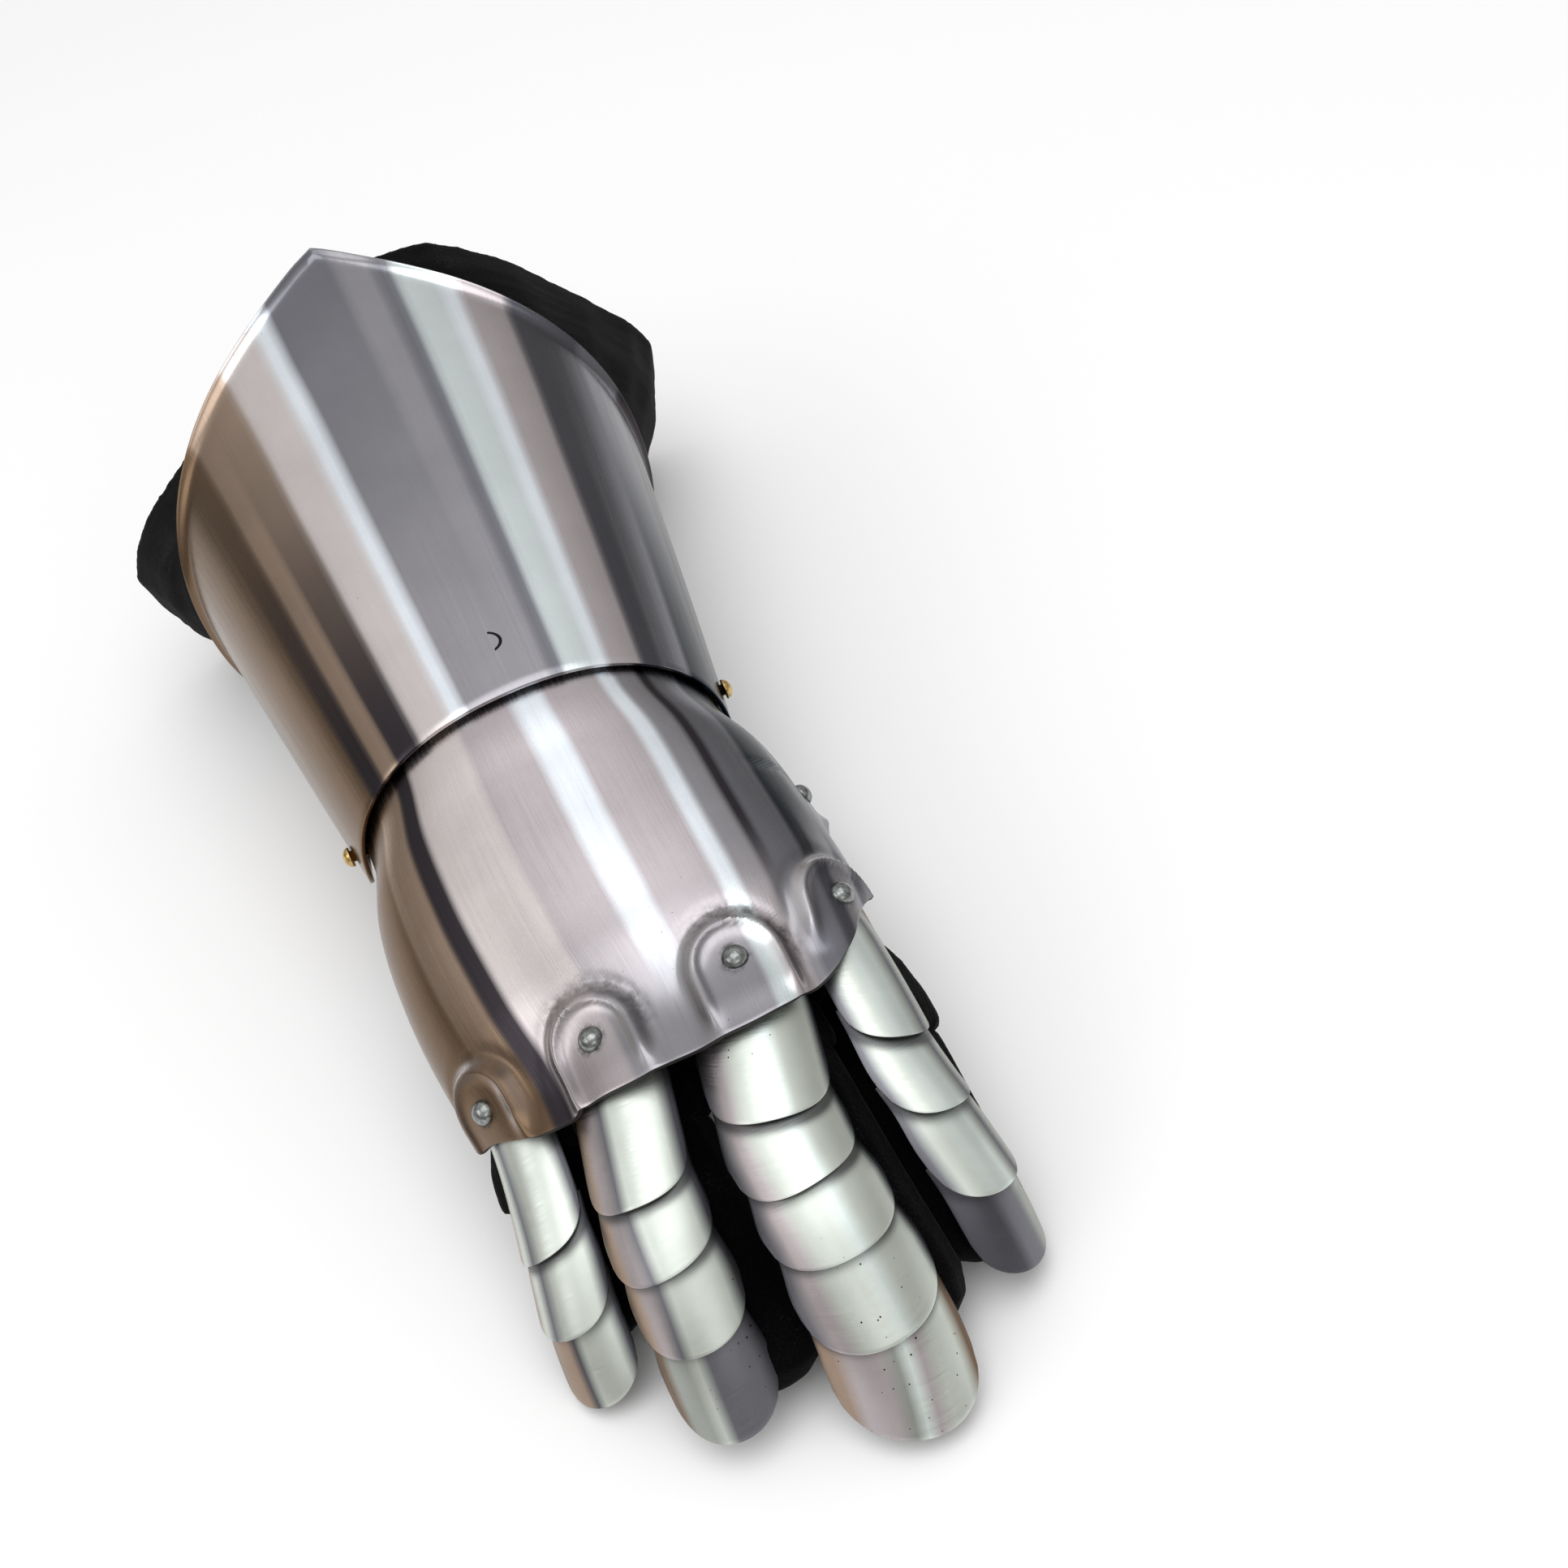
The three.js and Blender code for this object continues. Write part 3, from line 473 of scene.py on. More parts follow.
cuff_row = table_curve(CUFF_ROWS)
cuff_edge = table_curve(CUFF_EDGE_ROWS)


def cuff_section(turn, y):
    centre_x, centre_z, half_width, half_height = cuff_row(y)
    across, up = oval(math.pi / 2 - turn, CUFF_SQUARENESS)
    lean = CUFF_LEAN * (y - CUFF_ROWS[0][0]) / CUFF_LENGTH
    rise = up * half_height
    x = centre_x + across * half_width
    return Vector((x, y - rise * math.sin(lean), centre_z + rise * math.cos(lean)))


def cuff_place(u, v):
    turn = (2 * u - 1) * math.pi + CUFF_PEAK_TURN
    degrees = abs(2 * u - 1) * 180
    rim_y, wrist_y = cuff_edge(degrees)
    if v <= 1 - LIP_SHARE:
        return cuff_section(turn, mix(wrist_y, rim_y, v / (1 - LIP_SHARE)))
    rim = cuff_section(turn, rim_y)
    forward = (cuff_section(turn, rim_y + 1) - cuff_section(turn, rim_y - 1)).normalized()
    around = (cuff_section(turn + 0.01, rim_y) - cuff_section(turn - 0.01, rim_y)).normalized()
    outward = around.cross(forward).normalized()
    curl = LIP_TURN * (v - 1 + LIP_SHARE) / LIP_SHARE
    return rim + forward * LIP_RADIUS * math.sin(curl) + outward * LIP_RADIUS * (1 - math.cos(curl))

# %% [markdown]
# Bands of painted reflection run along the cuff from wrist to rim, and get wider with it. Laid on the UV map,
# they do the same by themselves. Half-way across the map is the top of the cuff.

# %% Make the cuff
# Bands of painted reflection. Columns: degrees from the top towards the thumb side where a band starts, its
# tone at the wrist edge, its tone at the rim.
CUFF_BANDS = [
    (-180, "warm", "warm"),
    (-50, "dark", "warm"),
    (-42, "warm pale", "warm pale"),
    (-35, "dark", "warm pale"),
    (-25, "bright", "bright"),
    (-14, "glint", "glint"),
    (-10, "middle", "soft"),
    (5, "middle", "middle"),
    (12, "soft", "soft"),
    (16, "cool bright", "cool bright"),
    (25, "glint", "glint"),
    (29, "pale", "pale"),
    (40, "dull", "dull"),
    (48, "soft", "dull"),
    (60, "deep", "soft"),
    (75, "deep", "dark"),
    (180, "deep", "dark"),
]
BAND_BLEND = 1
# Middle on the UV map, mm per unit of the map, radius and half width in mm.
CUFF_SCRATCH = ((0.494, 0.085), (300, 190), 3.2, 0.32)


def cuff_bands(column):
    peak = math.degrees(CUFF_PEAK_TURN)
    return band_stops(CUFF_BANDS, column, lambda degrees: 0.5 + (degrees - peak) / 360, BAND_BLEND)


cuff_steel = steel_finish("cuff steel", cuff_bands(1), (0.2, 0.3), (420, 2, 1), wander=0.003, clouding=0.06,
                          far_bands=cuff_bands(2), scratch=CUFF_SCRATCH)
cuff_sheet = bent_sheet(220, 64, cuff_place, closed=True)
cuff_piece = give_wall(new_object("steel_cuff", cuff_sheet, "cuff", ["cuff_bell"]), PLATE_WALL)
cuff_piece.data.materials.append(cuff_steel)
print("cuff faces", len(cuff_piece.data.polygons))

# %% [markdown]
# ## The hand plate
# The plate is an arch over the back of the hand. Its front edge follows the knuckles, with shallow valleys
# between them, and its thumb side is swelled into a lobe with a cut-out in front of it. The five bosses are
# raised from behind with a punch: a horseshoe ridge round each rivet. All of this is a bend of one grid, so
# the ridge flows into the plate without a seam, as metal does.

# %% Hand plate sections
# Columns: y, centre x, centre z, half width, height of the arch, lean, squareness.
HAND_ROWS = [
    (24, 0, -3, 48.2, 38.2, 0, 2.2),
    (0, 0, -3.2, 49.1, 40.7, 0, 2.2),
    (-13, 0, -3.8, 49.4, 40, 0.01, 2.2),
    (-27, 0.5, -5, 54, 38, 0.03, 2.15),
    (-50, 1.2, -7, 55.7, 35, 0.07, 2.1),
    (-75, 3, -9.2, 55, 31.7, 0.11, 2.05),
    (-96, 4.5, -11.2, 52.5, 29, 0.144, 2),
    (-116, 4.5, -11.8, 51.5, 28.7, 0.144, 2),
]
HAND_SIDE_DEPTH = 80
HAND_WRIST_Y = 12
HAND_LITTLE_SIDE = 192
HAND_THUMB_SIDE = -27
# Columns: place across from little finger (-1) to index finger (1), y of the edge.
KNUCKLE_EDGE_ROWS = [
    (-1.05, -88),
    (-0.97, -93),
    (-0.77, -104),
    (-0.55, -107.5),
    (-0.28, -111.5),
    (0, -112.5),
    (0.33, -113.5),
    (0.58, -110),
    (0.83, -100),
    (0.97, -86),
    (1.05, -77),
]
# Columns: place across, depth.
VALLEYS = [(-0.58, 2.6), (0.02, 1.6), (0.62, 2.2)]
VALLEY_WIDTH = 0.13
SWELL_Y, SWELL_Z, SWELL_ALONG, SWELL_DOWN, SWELL_RISE, SWELL_FLARE = -26, -27, 21, 22, 8, 0.3
# Side edges of the plate. Columns: y, z.
THUMB_EDGE = [(16, -19), (0, -27), (-14, -35), (-25, -37.5), (-35, -34), (-40, -28), (-43, -14),
              (-46, -10), (-55, -8.5), (-66, -7), (-76, -3.5), (-84, 1), (-92, 5), (-100, 6)]
LITTLE_EDGE = [(16, -14), (-30, -18), (-70, -18.5), (-84, -16), (-92, -13), (-100, -11)]

hand_row = table_curve(HAND_ROWS)
knuckle_edge = table_curve(KNUCKLE_EDGE_ROWS)
thumb_edge = table_curve(THUMB_EDGE)
little_edge = table_curve(LITTLE_EDGE)


def hand_section(degrees, y):
    centre_x, centre_z, half_width, height, lean, squareness = hand_row(y)
    across, up = oval(math.radians(degrees), squareness)
    z = centre_z + up * (height if up > 0 else HAND_SIDE_DEPTH) + lean * across * half_width
    near_edge = smoothstep(-y, 78, 104)
    for place, depth in VALLEYS:
        z -= depth * near_edge * math.exp(-(((math.cos(math.radians(degrees)) - place) / VALLEY_WIDTH) ** 2))
    from_swell = math.hypot((y - SWELL_Y) / SWELL_ALONG, (z - SWELL_Z) / SWELL_DOWN)
    bulge = (SWELL_RISE + SWELL_FLARE * (SWELL_Z - z)) * math.exp(-(from_swell ** 4)) if across > 0 else 0
    return Vector((centre_x + across * half_width + bulge, y, z))

# %% [markdown]
# The sheet has to stop where its side edges are. For any place along the hand, the angle at which the arch
# meets the edge is found by halving: it is cheap, and works for the step in front of the thumb as well.

# %% Side edges by halving
def edge_angle(y, edge, top, bottom):
    (wanted,) = edge(y)
    for _ in range(24):
        half = (top + bottom) / 2
        if hand_section(half, y).z > wanted:
            top = half
        else:
            bottom = half
    return top


EDGE_STEPS = 320
EDGE_FROM, EDGE_TO = -116, 14
# The halving starts from angles that are surely above the edges.
LITTLE_EDGE_ABOVE, THUMB_EDGE_ABOVE = 150, 24
edge_angles = []
for step in range(EDGE_STEPS + 1):
    y = mix(EDGE_FROM, EDGE_TO, step / EDGE_STEPS)
    little = edge_angle(y, little_edge, LITTLE_EDGE_ABOVE, HAND_LITTLE_SIDE)
    thumb = edge_angle(y, thumb_edge, THUMB_EDGE_ABOVE, HAND_THUMB_SIDE)
    edge_angles.append((little, thumb))


def side_angles(y):
    at = min(EDGE_STEPS - 1e-6, max(0, (y - EDGE_FROM) / (EDGE_TO - EDGE_FROM) * EDGE_STEPS))
    low = int(at)
    (l0, t0), (l1, t1) = edge_angles[low], edge_angles[low + 1]
    return mix(l0, l1, at - low), mix(t0, t1, at - low)


print("side angles at the wrist", [round(a, 1) for a in side_angles(0)])

# %% [markdown]
# The bosses are horseshoes: two legs that run to the knuckle edge, joined by a half circle on the wrist side
# of the rivet. For each point of the plate, its distance from that line gives how far the metal is raised.
# Inside the horseshoe the plate is raised a little too, so that the rivet sits on a low pad.

# %% Knuckle rivets and bosses
# Columns: y, angle round the arch, how deep the first lame lies, turn of the boss, length of its legs.
KNUCKLES = {
    "little": (-88.5, 154, 0.35, 8, 13),
    "ring": (-96, 111, 0.35, 0, 14),
    "middle": (-96.6, 70.5, 0.35, 0, 14),
    "index": (-86.3, 29, 0.35, 0, 12),
    "thumb": (-25, -11, 1.4, 35, 5),
}
BOSS_RADIUS = 9.6
BOSS_HEIGHT = 2.0
BOSS_WIDTH = 1.7
PAD_HEIGHT = 0.75
GROOVE_DEPTH = 0.4


def on_plate(degrees, y):
    point = hand_section(degrees, y)
    to_thumb = hand_section(degrees - 0.5, y) - hand_section(degrees + 0.5, y)
    to_wrist = hand_section(degrees, y + 0.5) - hand_section(degrees, y - 0.5)
    return point, to_thumb.cross(to_wrist).normalized(), to_thumb.normalized()


KNUCKLE_FRAMES = {}
for name, (y, degrees, *_rest) in KNUCKLES.items():
    point, normal, across = on_plate(degrees, y)
    KNUCKLE_FRAMES[name] = (point, normal, across, normal.cross(across).normalized())


def near_bosses(point, limit):
    """For each boss near a point: x and y on the boss's own axes, reach from its middle line, leg length."""
    for name, (centre, _normal, across, back) in KNUCKLE_FRAMES.items():
        offset = point - centre
        if offset.length > limit:
            continue
        turn, legs = math.radians(KNUCKLES[name][3]), KNUCKLES[name][4]
        x0, y0 = offset.dot(across), offset.dot(back)
        x = x0 * math.cos(turn) - y0 * math.sin(turn)
        y = x0 * math.sin(turn) + y0 * math.cos(turn)
        yield x, y, math.hypot(x, y) if y > 0 else abs(x), legs


def boss_rise(point):
    rise = 0
    for _x, y, reach, legs in near_bosses(point, 30):
        fade = smoothstep(y, -legs - 4, -legs + 6)
        ring = reach - BOSS_RADIUS
        ridge = BOSS_HEIGHT * math.exp(-((ring / BOSS_WIDTH) ** 2)) * (1 if y > 0 else fade)
        pad = PAD_HEIGHT * (1 - smoothstep(reach, BOSS_RADIUS - 3, BOSS_RADIUS)) * fade
        groove = GROOVE_DEPTH * math.exp(-(((ring - 4.2) / 1.6) ** 2)) * fade
        rise += ridge + pad - groove
    return rise

# %% [markdown]
# Dirt and oil stay in the hammered corners round a boss, and a painted shadow rings each rivet head where it
# sits on the plate. A vertex attribute marks both: the finish reads it and breaks it up with noise.

# %% Make the hand plate
GRIMY = {"ring": 0.6, "middle": 0.7, "little": 0.2, "index": 0.4}


def plate_angle(u, v):
    degrees = mix(HAND_LITTLE_SIDE - 12, HAND_THUMB_SIDE + 17, u)
    for _ in range(8):
        (edge_y,) = knuckle_edge(math.cos(math.radians(degrees)))
        y = mix(edge_y, HAND_WRIST_Y, v)
        little, thumb = side_angles(y)
        degrees = mix(degrees, mix(little, thumb, u), 0.7)
    return degrees, y


def plate_place(u, v):
    point, normal, _across = on_plate(*plate_angle(u, v))
    return point + normal * boss_rise(point)


def plate_share(degrees):
    return (HAND_LITTLE_SIDE - degrees) / (HAND_LITTLE_SIDE - HAND_THUMB_SIDE)


def plate_across(u, v):
    return plate_share(plate_angle(u, v)[0])


def grime_and_shadow_at(point):
    worst = 0
    for name, amount in GRIMY.items():
        centre, _normal, across, back = KNUCKLE_FRAMES[name]
        offset = point - centre
        x, y = offset.dot(across), offset.dot(back)
        outside = math.hypot(x, y) - BOSS_RADIUS
        ring = math.exp(-(((outside - 3.2) / 2.4) ** 2)) * smoothstep(y + 0.8 * x, 0, 9)
        # Painted shadow: a thin dark ring round each rivet head where it meets the plate.
        under_head = 0.8 * math.exp(-(((math.hypot(x, y) - 3.3) / 0.6) ** 2))
        worst = max(worst, amount * ring, under_head)
    return worst


def round_boss(point):
    """Yield, for each boss near a point, its distance outside the ridge and how much it faces the light."""
    for x, y, reach, legs in near_bosses(point, 24):
        facing = (-0.62 * x + 0.78 * max(y, 0)) / max(reach, 0.1)
        yield reach - BOSS_RADIUS, facing, smoothstep(y, -legs, -legs + 8)


# Painted highlight round each boss: just outside the ridge on the side facing the light, just inside it on the
# far side.
def painted_highlight_at(point):
    shine = [0.75 * math.exp(-(((ring - 1.5) / 1.1) ** 2)) * smoothstep(facing, 0, 0.8) * fade
             + 0.4 * math.exp(-(((ring + 1.2) / 1.0) ** 2)) * smoothstep(-facing, 0.1, 0.7) * fade
             for ring, facing, fade in round_boss(point)]
    return min(1, sum(shine))


# Painted shade round each boss: inside the ridge on the side facing the light, outside it on the far side.
def painted_shade_at(point):
    shade = [0.55 * math.exp(-(((ring + 0.9) / 0.9) ** 2)) * smoothstep(facing, -0.1, 0.6) * fade
             + 0.5 * math.exp(-(((ring - 2.2) / 1.2) ** 2)) * smoothstep(-facing, -0.2, 0.5) * fade
             for ring, facing, fade in round_boss(point)]
    return min(1, sum(shade))


# Bands of painted reflection. Columns: degrees round the arch (90 at the top) where a band starts, its tone
# over the back of the hand and at the knuckles.
PLATE_BANDS = [
    (192, "warm", "warm"),
    (145, "warm pale", "warm"),
    (132, "dark", "dark"),
    (125, "bright", "pale"),
    (105, "pale", "middle"),
    (90, "glint", "middle"),
    (82, "pale", "middle"),
    (65, "glint", "cool bright"),
    (60, "middle", "pale"),
    (52, "dark", "middle"),
    (48, "soft", "soft"),
    (36, "deep", "dull"),
    (30, "deep", "middle"),
    (20, "dull", "dull"),
    (15, "deep", "soft"),
    (0, "soft", "soft"),
    (-27, "soft", "soft"),
]
def plate_bands(column):
    return band_stops(PLATE_BANDS, column, plate_share, BAND_BLEND)


def plain_finish(name, **values):
    material = bpy.data.materials.new(name)
    material.use_nodes = True
    for key, value in values.items():
        material.node_tree.nodes["Principled BSDF"].inputs[key.replace("_", " ")].default_value = value
    return material


# The cut edges of the plate and the lames are painted near black, as painted shade under their rims.
painted_shade_cut_edge = plain_finish("cut edge", Base_Color=(0.035, 0.033, 0.032, 1), Metallic=0.6, Roughness=0.55)

plate_steel = steel_finish("plate steel", plate_bands(2), (0.22, 0.34), (300, 3, 1), wander=0.008,
                           clouding=0.08, far_bands=plate_bands(1), far_range=(0.08, 0.42), painted_edges_and_grime=True)
plate_sheet = bent_sheet(230, 130, plate_place, bands_from=plate_across)
plate_piece = give_wall(new_object("hand_plate_steel", plate_sheet, "hand", ["hand_plate"]),
                        PLATE_WALL, cut_edge_slot=1)
plate_piece.data.materials.append(plate_steel)
plate_piece.data.materials.append(painted_shade_cut_edge)
# Painted highlight, painted shade, and grime with painted shadow, as vertex attributes.
marks = {"grime_and_shadow": grime_and_shadow_at, "painted_highlight": painted_highlight_at, "painted_shade": painted_shade_at}
for attribute, amount_at in marks.items():
    values = plate_piece.data.attributes.new(attribute, "FLOAT", "POINT")
    for vert in plate_piece.data.vertices:
        values.data[vert.index].value = amount_at((vert.co - WRIST) / MM)
print("plate faces", len(plate_piece.data.polygons))

# %% [markdown]
# ## The lames
# Each finger is covered by a chain of small arched plates. Every lame starts under the one behind it and ends
# in a rounded tip, so a finger can bend. The spine of a lame is a smooth curve from its root to its tip, and
# the arch is laid across it. The first lame of each finger starts flat under its rivet and grows its arch.

# %% Lame tables
LAME_WALL = 1.0
# Columns: x, y, z of the tip, width, roll in degrees, how much narrower the root is.
LAMES = {
    "little": [(-45.4, -122.2, -18.4, 23, -33, 0), (-47.6, -136.4, -29.8, 23.5, -28, 0),
               (-47, -146.8, -45, 23, -24, 0)],
    "ring": [(-20.6, -133.1, 1.2, 25.5, -14, 0), (-20, -147.2, -7.3, 26, -12, 0),
             (-21.2, -159.8, -20.2, 26.2, -11, 1.5), (-21.6, -171.6, -39.7, 25.3, -10, 3)],
    "middle": [(15.2, -133, 8.4, 28, 6, 0), (17.2, -147.4, 2.2, 29, 5, 0), (18.4, -161.3, -8.2, 30.5, 4, 1),
               (19.8, -175.4, -23.6, 32, 3, 1), (15.4, -188.2, -43.5, 32, 2, 0)],
    "index": [(51.4, -121.5, -1.7, 24, 38, 0), (54.2, -137.1, -10.7, 24.5, 36, 0),
              (57, -152.3, -24.9, 25.5, 33, 0), (56.8, -163, -42.3, 25, 30, 0)],
    "thumb": [(56.4, -41, -38, 20.4, 76, 0), (51.6, -57, -43.5, 20.5, 74, 13)],
}
LAME_ARCH = math.radians(55)
LAME_OVERLAP_MOST, LAME_OVERLAP_SHARE = 13, 0.5
LAME_STEP = LAME_WALL + 0.7
LAME_SIDE_EASE = 1.2
LAME_TIP = 12.5
LAME_TIP_POWER = 2.15
TAB_WIDTH, TAB_ARCH = 15, math.radians(22)
TAILS = {"little": 6, "ring": 6, "middle": 6, "index": 6, "thumb": 4}


def spine_point(spine, t):
    start, bend, tip = spine
    return start * (1 - t) ** 2 + bend * 2 * t * (1 - t) + tip * t * t


def spine_way(spine, t):
    start, bend, tip = spine
    return ((bend - start) * (1 - t) + (tip - bend) * t).normalized()


def spine_length(spine):
    points = [spine_point(spine, i / 60) for i in range(61)]
    return sum((b - a).length for a, b in zip(points, points[1:]))

# %% Chain the lames of a finger
def lame_chain(name):
    y, degrees, seat, _turn, _legs = KNUCKLES[name]
    point, normal, _across = on_plate(degrees, y)
    under = point - normal * (PLATE_WALL + seat)
    way, root, start_up = None, None, normal
    start = (TAB_WIDTH, TAB_ARCH, 0.1, 0.36)
    chain = []
    for x, y, z, width, roll, root_ease in LAMES[name]:
        start = (start[0] - root_ease, *start[1:])
        tip = Vector((x, y, z))
        end_up = Vector((math.sin(math.radians(roll)), 0, math.cos(math.radians(roll))))
        if root is None:
            straight = tip - under
            way = (straight - normal * straight.dot(normal)).normalized()
            spine = (under - way * TAILS[name], under + way * straight.length * 0.45, tip)
        else:
            spine = (root, under + way * 1.5, tip)
        chain.append((spine, start_up, end_up, start, width))
        overlap = min(LAME_OVERLAP_MOST, LAME_OVERLAP_SHARE * spine_length(spine))
        back = 1 - overlap / spine_length(spine)
        way, way_back = spine_way(spine, 1), spine_way(spine, back)
        tip_normal = (end_up - way * end_up.dot(way)).normalized()
        back_up = start_up.lerp(end_up, back)
        back_normal = (back_up - way_back * back_up.dot(way_back)).normalized()
        under = tip - tip_normal * LAME_STEP
        root = spine_point(spine, back) - back_normal * LAME_STEP
        start_up = back_normal
        start = (width - LAME_SIDE_EASE, LAME_ARCH, 0.15, 0.55)
    return chain


# %% [markdown]
# A painted shadow line lies on each lame where the tip of the one before it overhangs. A vertex attribute marks
# the places close to that tip.

# %% Mark the painted shadow and bend a lame
def mark_painted_shadow(piece, tip_line):
    values = piece.data.attributes.new("painted_shade", "FLOAT", "POINT")
    for vert in piece.data.vertices:
        near = min((vert.co - place).length_squared for place in tip_line) ** 0.5 / MM
        values.data[vert.index].value = 0.85 * math.exp(-((max(0, near - LAME_STEP - 0.3) / 1.0) ** 2))


def lame_place(lame):
    spine, start_up, end_up, (root_width, root_arch, grows_at, full_at), end_width = lame
    length = spine_length(spine)

    def place(across, along):
        u = 2 * across - 1
        edge = 1 - LAME_TIP / length * (1 - (1 - min(1, abs(u)) ** LAME_TIP_POWER) ** (1 / LAME_TIP_POWER))
        reach = min(1, max(0, (1 - along) * edge))
        way = spine_way(spine, reach)
        normal = start_up.lerp(end_up, reach)
        normal = (normal - way * normal.dot(way)).normalized()
        side = normal.cross(way)
        grown = smoothstep(reach, grows_at, full_at)
        arch = mix(root_arch, LAME_ARCH, grown)
        radius = mix(root_width, end_width, grown) / 2 / math.sin(arch)
        turn = u * arch
        sideways, down = side * radius * math.sin(turn), normal * radius * (math.cos(turn) - 1)
        return spine_point(spine, reach) + sideways + down

    return place

# %% [markdown]
# The lames have a satin finish with brushing across the finger, and their bands of painted reflection are a
# paler and greener grey than on the big plates. The last lame of each finger curls down, so its painted
# reflection is browner and darker, and it gets a finish of its own.

# %% Make the lames
# For each finger: where a band of painted reflection starts, from its little finger side (0) to its thumb side
# (1), and its tone.
LAME_BANDS = {
    "little": [(0, "warm"), (0.1, "warm pale"), (0.2, "satin"), (0.35, "soft"), (0.45, "satin"),
               (0.9, "dull"), (1, "dull")],
    "ring": [(0, "warm"), (0.1, "warm pale"), (0.2, "pale"), (0.35, "soft"), (0.42, "satin"), (0.9, "dull"),
             (1, "dull")],
    "middle": [(0, "soft"), (0.1, "pale"), (0.25, "satin"), (0.5, "satin bright"), (0.6, "satin"),
               (0.95, "dull"), (1, "dull")],
    "index": [(0, "soft"), (0.1, "satin"), (0.3, "satin bright"), (0.55, "satin shade"), (0.6, "dull"),
              (0.7, "satin shade"), (0.85, "warm"), (1, "warm")],
}
LAST_BANDS = {
    "little": [(0, "warm"), (0.15, "warm pale"), (0.45, "dull"), (0.52, "satin"), (0.9, "dull"), (1, "dull")],
    "ring": [(0, "warm"), (0.15, "satin shade"), (0.4, "satin"), (0.48, "soft"), (0.9, "dull"), (1, "dull")],
    "middle": [(0, "warm pale"), (0.15, "pale"), (0.43, "satin shade"), (0.5, "satin bright"), (0.57, "pale"),
               (0.65, "satin"), (0.9, "warm"), (1, "warm")],
    "index": [(0, "dull"), (0.35, "soft"), (0.6, "satin shade"), (0.8, "warm"), (1, "warm")],
}
LAME_BLEND = 0.05


def lame_finish(label, bands):
    stops = band_stops(bands, 1, lambda place: place, LAME_BLEND)
    return steel_finish(label, stops, (0.28, 0.5), (2.5, 150, 1), wander=0.03, clouding=0.09, pits=0.6,
                        painted_edges_and_grime=True)


def lame_finishes_of(label, table):
    return {name: lame_finish(f"{label}{name} lame steel", bands) for name, bands in table.items()}


lame_finishes = lame_finishes_of("", LAME_BANDS)
last_finishes = lame_finishes_of("last ", LAST_BANDS)
TIP_SAMPLES = 70
for name in LAMES:
    chain = lame_chain(name)
    tip_line = []
    for i, lame in enumerate(chain):
        sheet_mesh = bent_sheet(36, 40, lame_place(lame))
        label = f"{name}_lame_{i + 1}"
        piece = new_object(f"{label}_steel", sheet_mesh, "hand", [label])
        give_wall(piece, LAME_WALL, edge=0.22, cut_edge_slot=1)
        finishes = last_finishes if i == len(chain) - 1 else lame_finishes
        piece.data.materials.append(finishes["index" if name == "thumb" else name])
        piece.data.materials.append(painted_shade_cut_edge)
        # Painted shadow under the tip of the lame before.
        if tip_line:
            mark_painted_shadow(piece, tip_line)
        tip_line = [WRIST + lame_place(lame)(k / TIP_SAMPLES, 0) * MM for k in range(TIP_SAMPLES + 1)]
    print(name, "lames", len(chain))

# %% [markdown]
# ## Rivets
# A domed rivet is a turned shape, so a profile is spun about its own axis: a low dome, and a shank with a burr
# inside. Knuckle rivets are steel, wrist rivets brass.

# %% Spin a rivet
RIVET_STEPS = 32


def rivet_mesh(head, rise, shank, burr, burr_thick, stack, gap=0.3):
    profile = [(0.01, gap + rise)]
    for degrees in range(80, 9, -10):
        angle = math.radians(degrees)
        profile.append((head * math.cos(angle), gap + rise * math.sin(angle)))
    profile += [(head, gap + 0.25), (head - 0.15, gap), (shank, gap), (shank, -stack), (burr, -stack)]
    profile += [(burr, -stack - burr_thick), (0.02, -stack - burr_thick)]
    bm = bmesh.new()
    verts = [bm.verts.new((r * MM, 0, z * MM)) for r, z in profile]
    edges = [bm.edges.new(pair) for pair in zip(verts, verts[1:])]
    bmesh.ops.spin(bm, geom=verts + edges, cent=(0, 0, 0), axis=(0, 0, 1), angle=math.tau,
                   steps=RIVET_STEPS, use_merge=True)
    bmesh.ops.remove_doubles(bm, verts=bm.verts, dist=1e-7)
    open_edges = [e for e in bm.edges if e.is_boundary]
    bmesh.ops.holes_fill(bm, edges=open_edges, sides=RIVET_STEPS + 2)
    bmesh.ops.recalc_face_normals(bm, faces=bm.faces)
    return bm


def metal_finish(name, colour, roughness):
    material = bpy.data.materials.new(name)
    material.use_nodes = True
    tree = material.node_tree
    metal = tree.nodes["Principled BSDF"]
    metal.inputs["Metallic"].default_value = 1
    coordinates = node(tree, "ShaderNodeTexCoord", (-900, 0))
    grain = node(tree, "ShaderNodeTexNoise", (-700, 0), Scale=900.0, Detail=4.0)
    tree.links.new(coordinates.outputs["Object"], grain.inputs["Vector"])
    dark = tuple(int(c * 0.72) for c in colour)
    ramp = ramp_of(tree, [(0.35, dark), (0.62, colour)], (-450, 0))
    tree.links.new(grain.outputs["Fac"], ramp.inputs["Fac"])
    tree.links.new(ramp.outputs["Color"], metal.inputs["Base Color"])
    rough = node(tree, "ShaderNodeMapRange", (-450, -300))
    rough.inputs["To Min"].default_value = roughness * 0.7
    rough.inputs["To Max"].default_value = roughness * 1.3
    tree.links.new(grain.outputs["Fac"], rough.inputs["Value"])
    tree.links.new(rough.outputs["Result"], metal.inputs["Roughness"])
    bump = node(tree, "ShaderNodeBump", (-250, -500), Strength=0.3, Distance=0.0002)
    dents = node(tree, "ShaderNodeTexNoise", (-700, -500), Scale=320.0, Detail=1.0)
    tree.links.new(coordinates.outputs["Object"], dents.inputs["Vector"])
    tree.links.new(dents.outputs["Fac"], bump.inputs["Height"])
    tree.links.new(bump.outputs["Normal"], metal.inputs["Normal"])
    return material


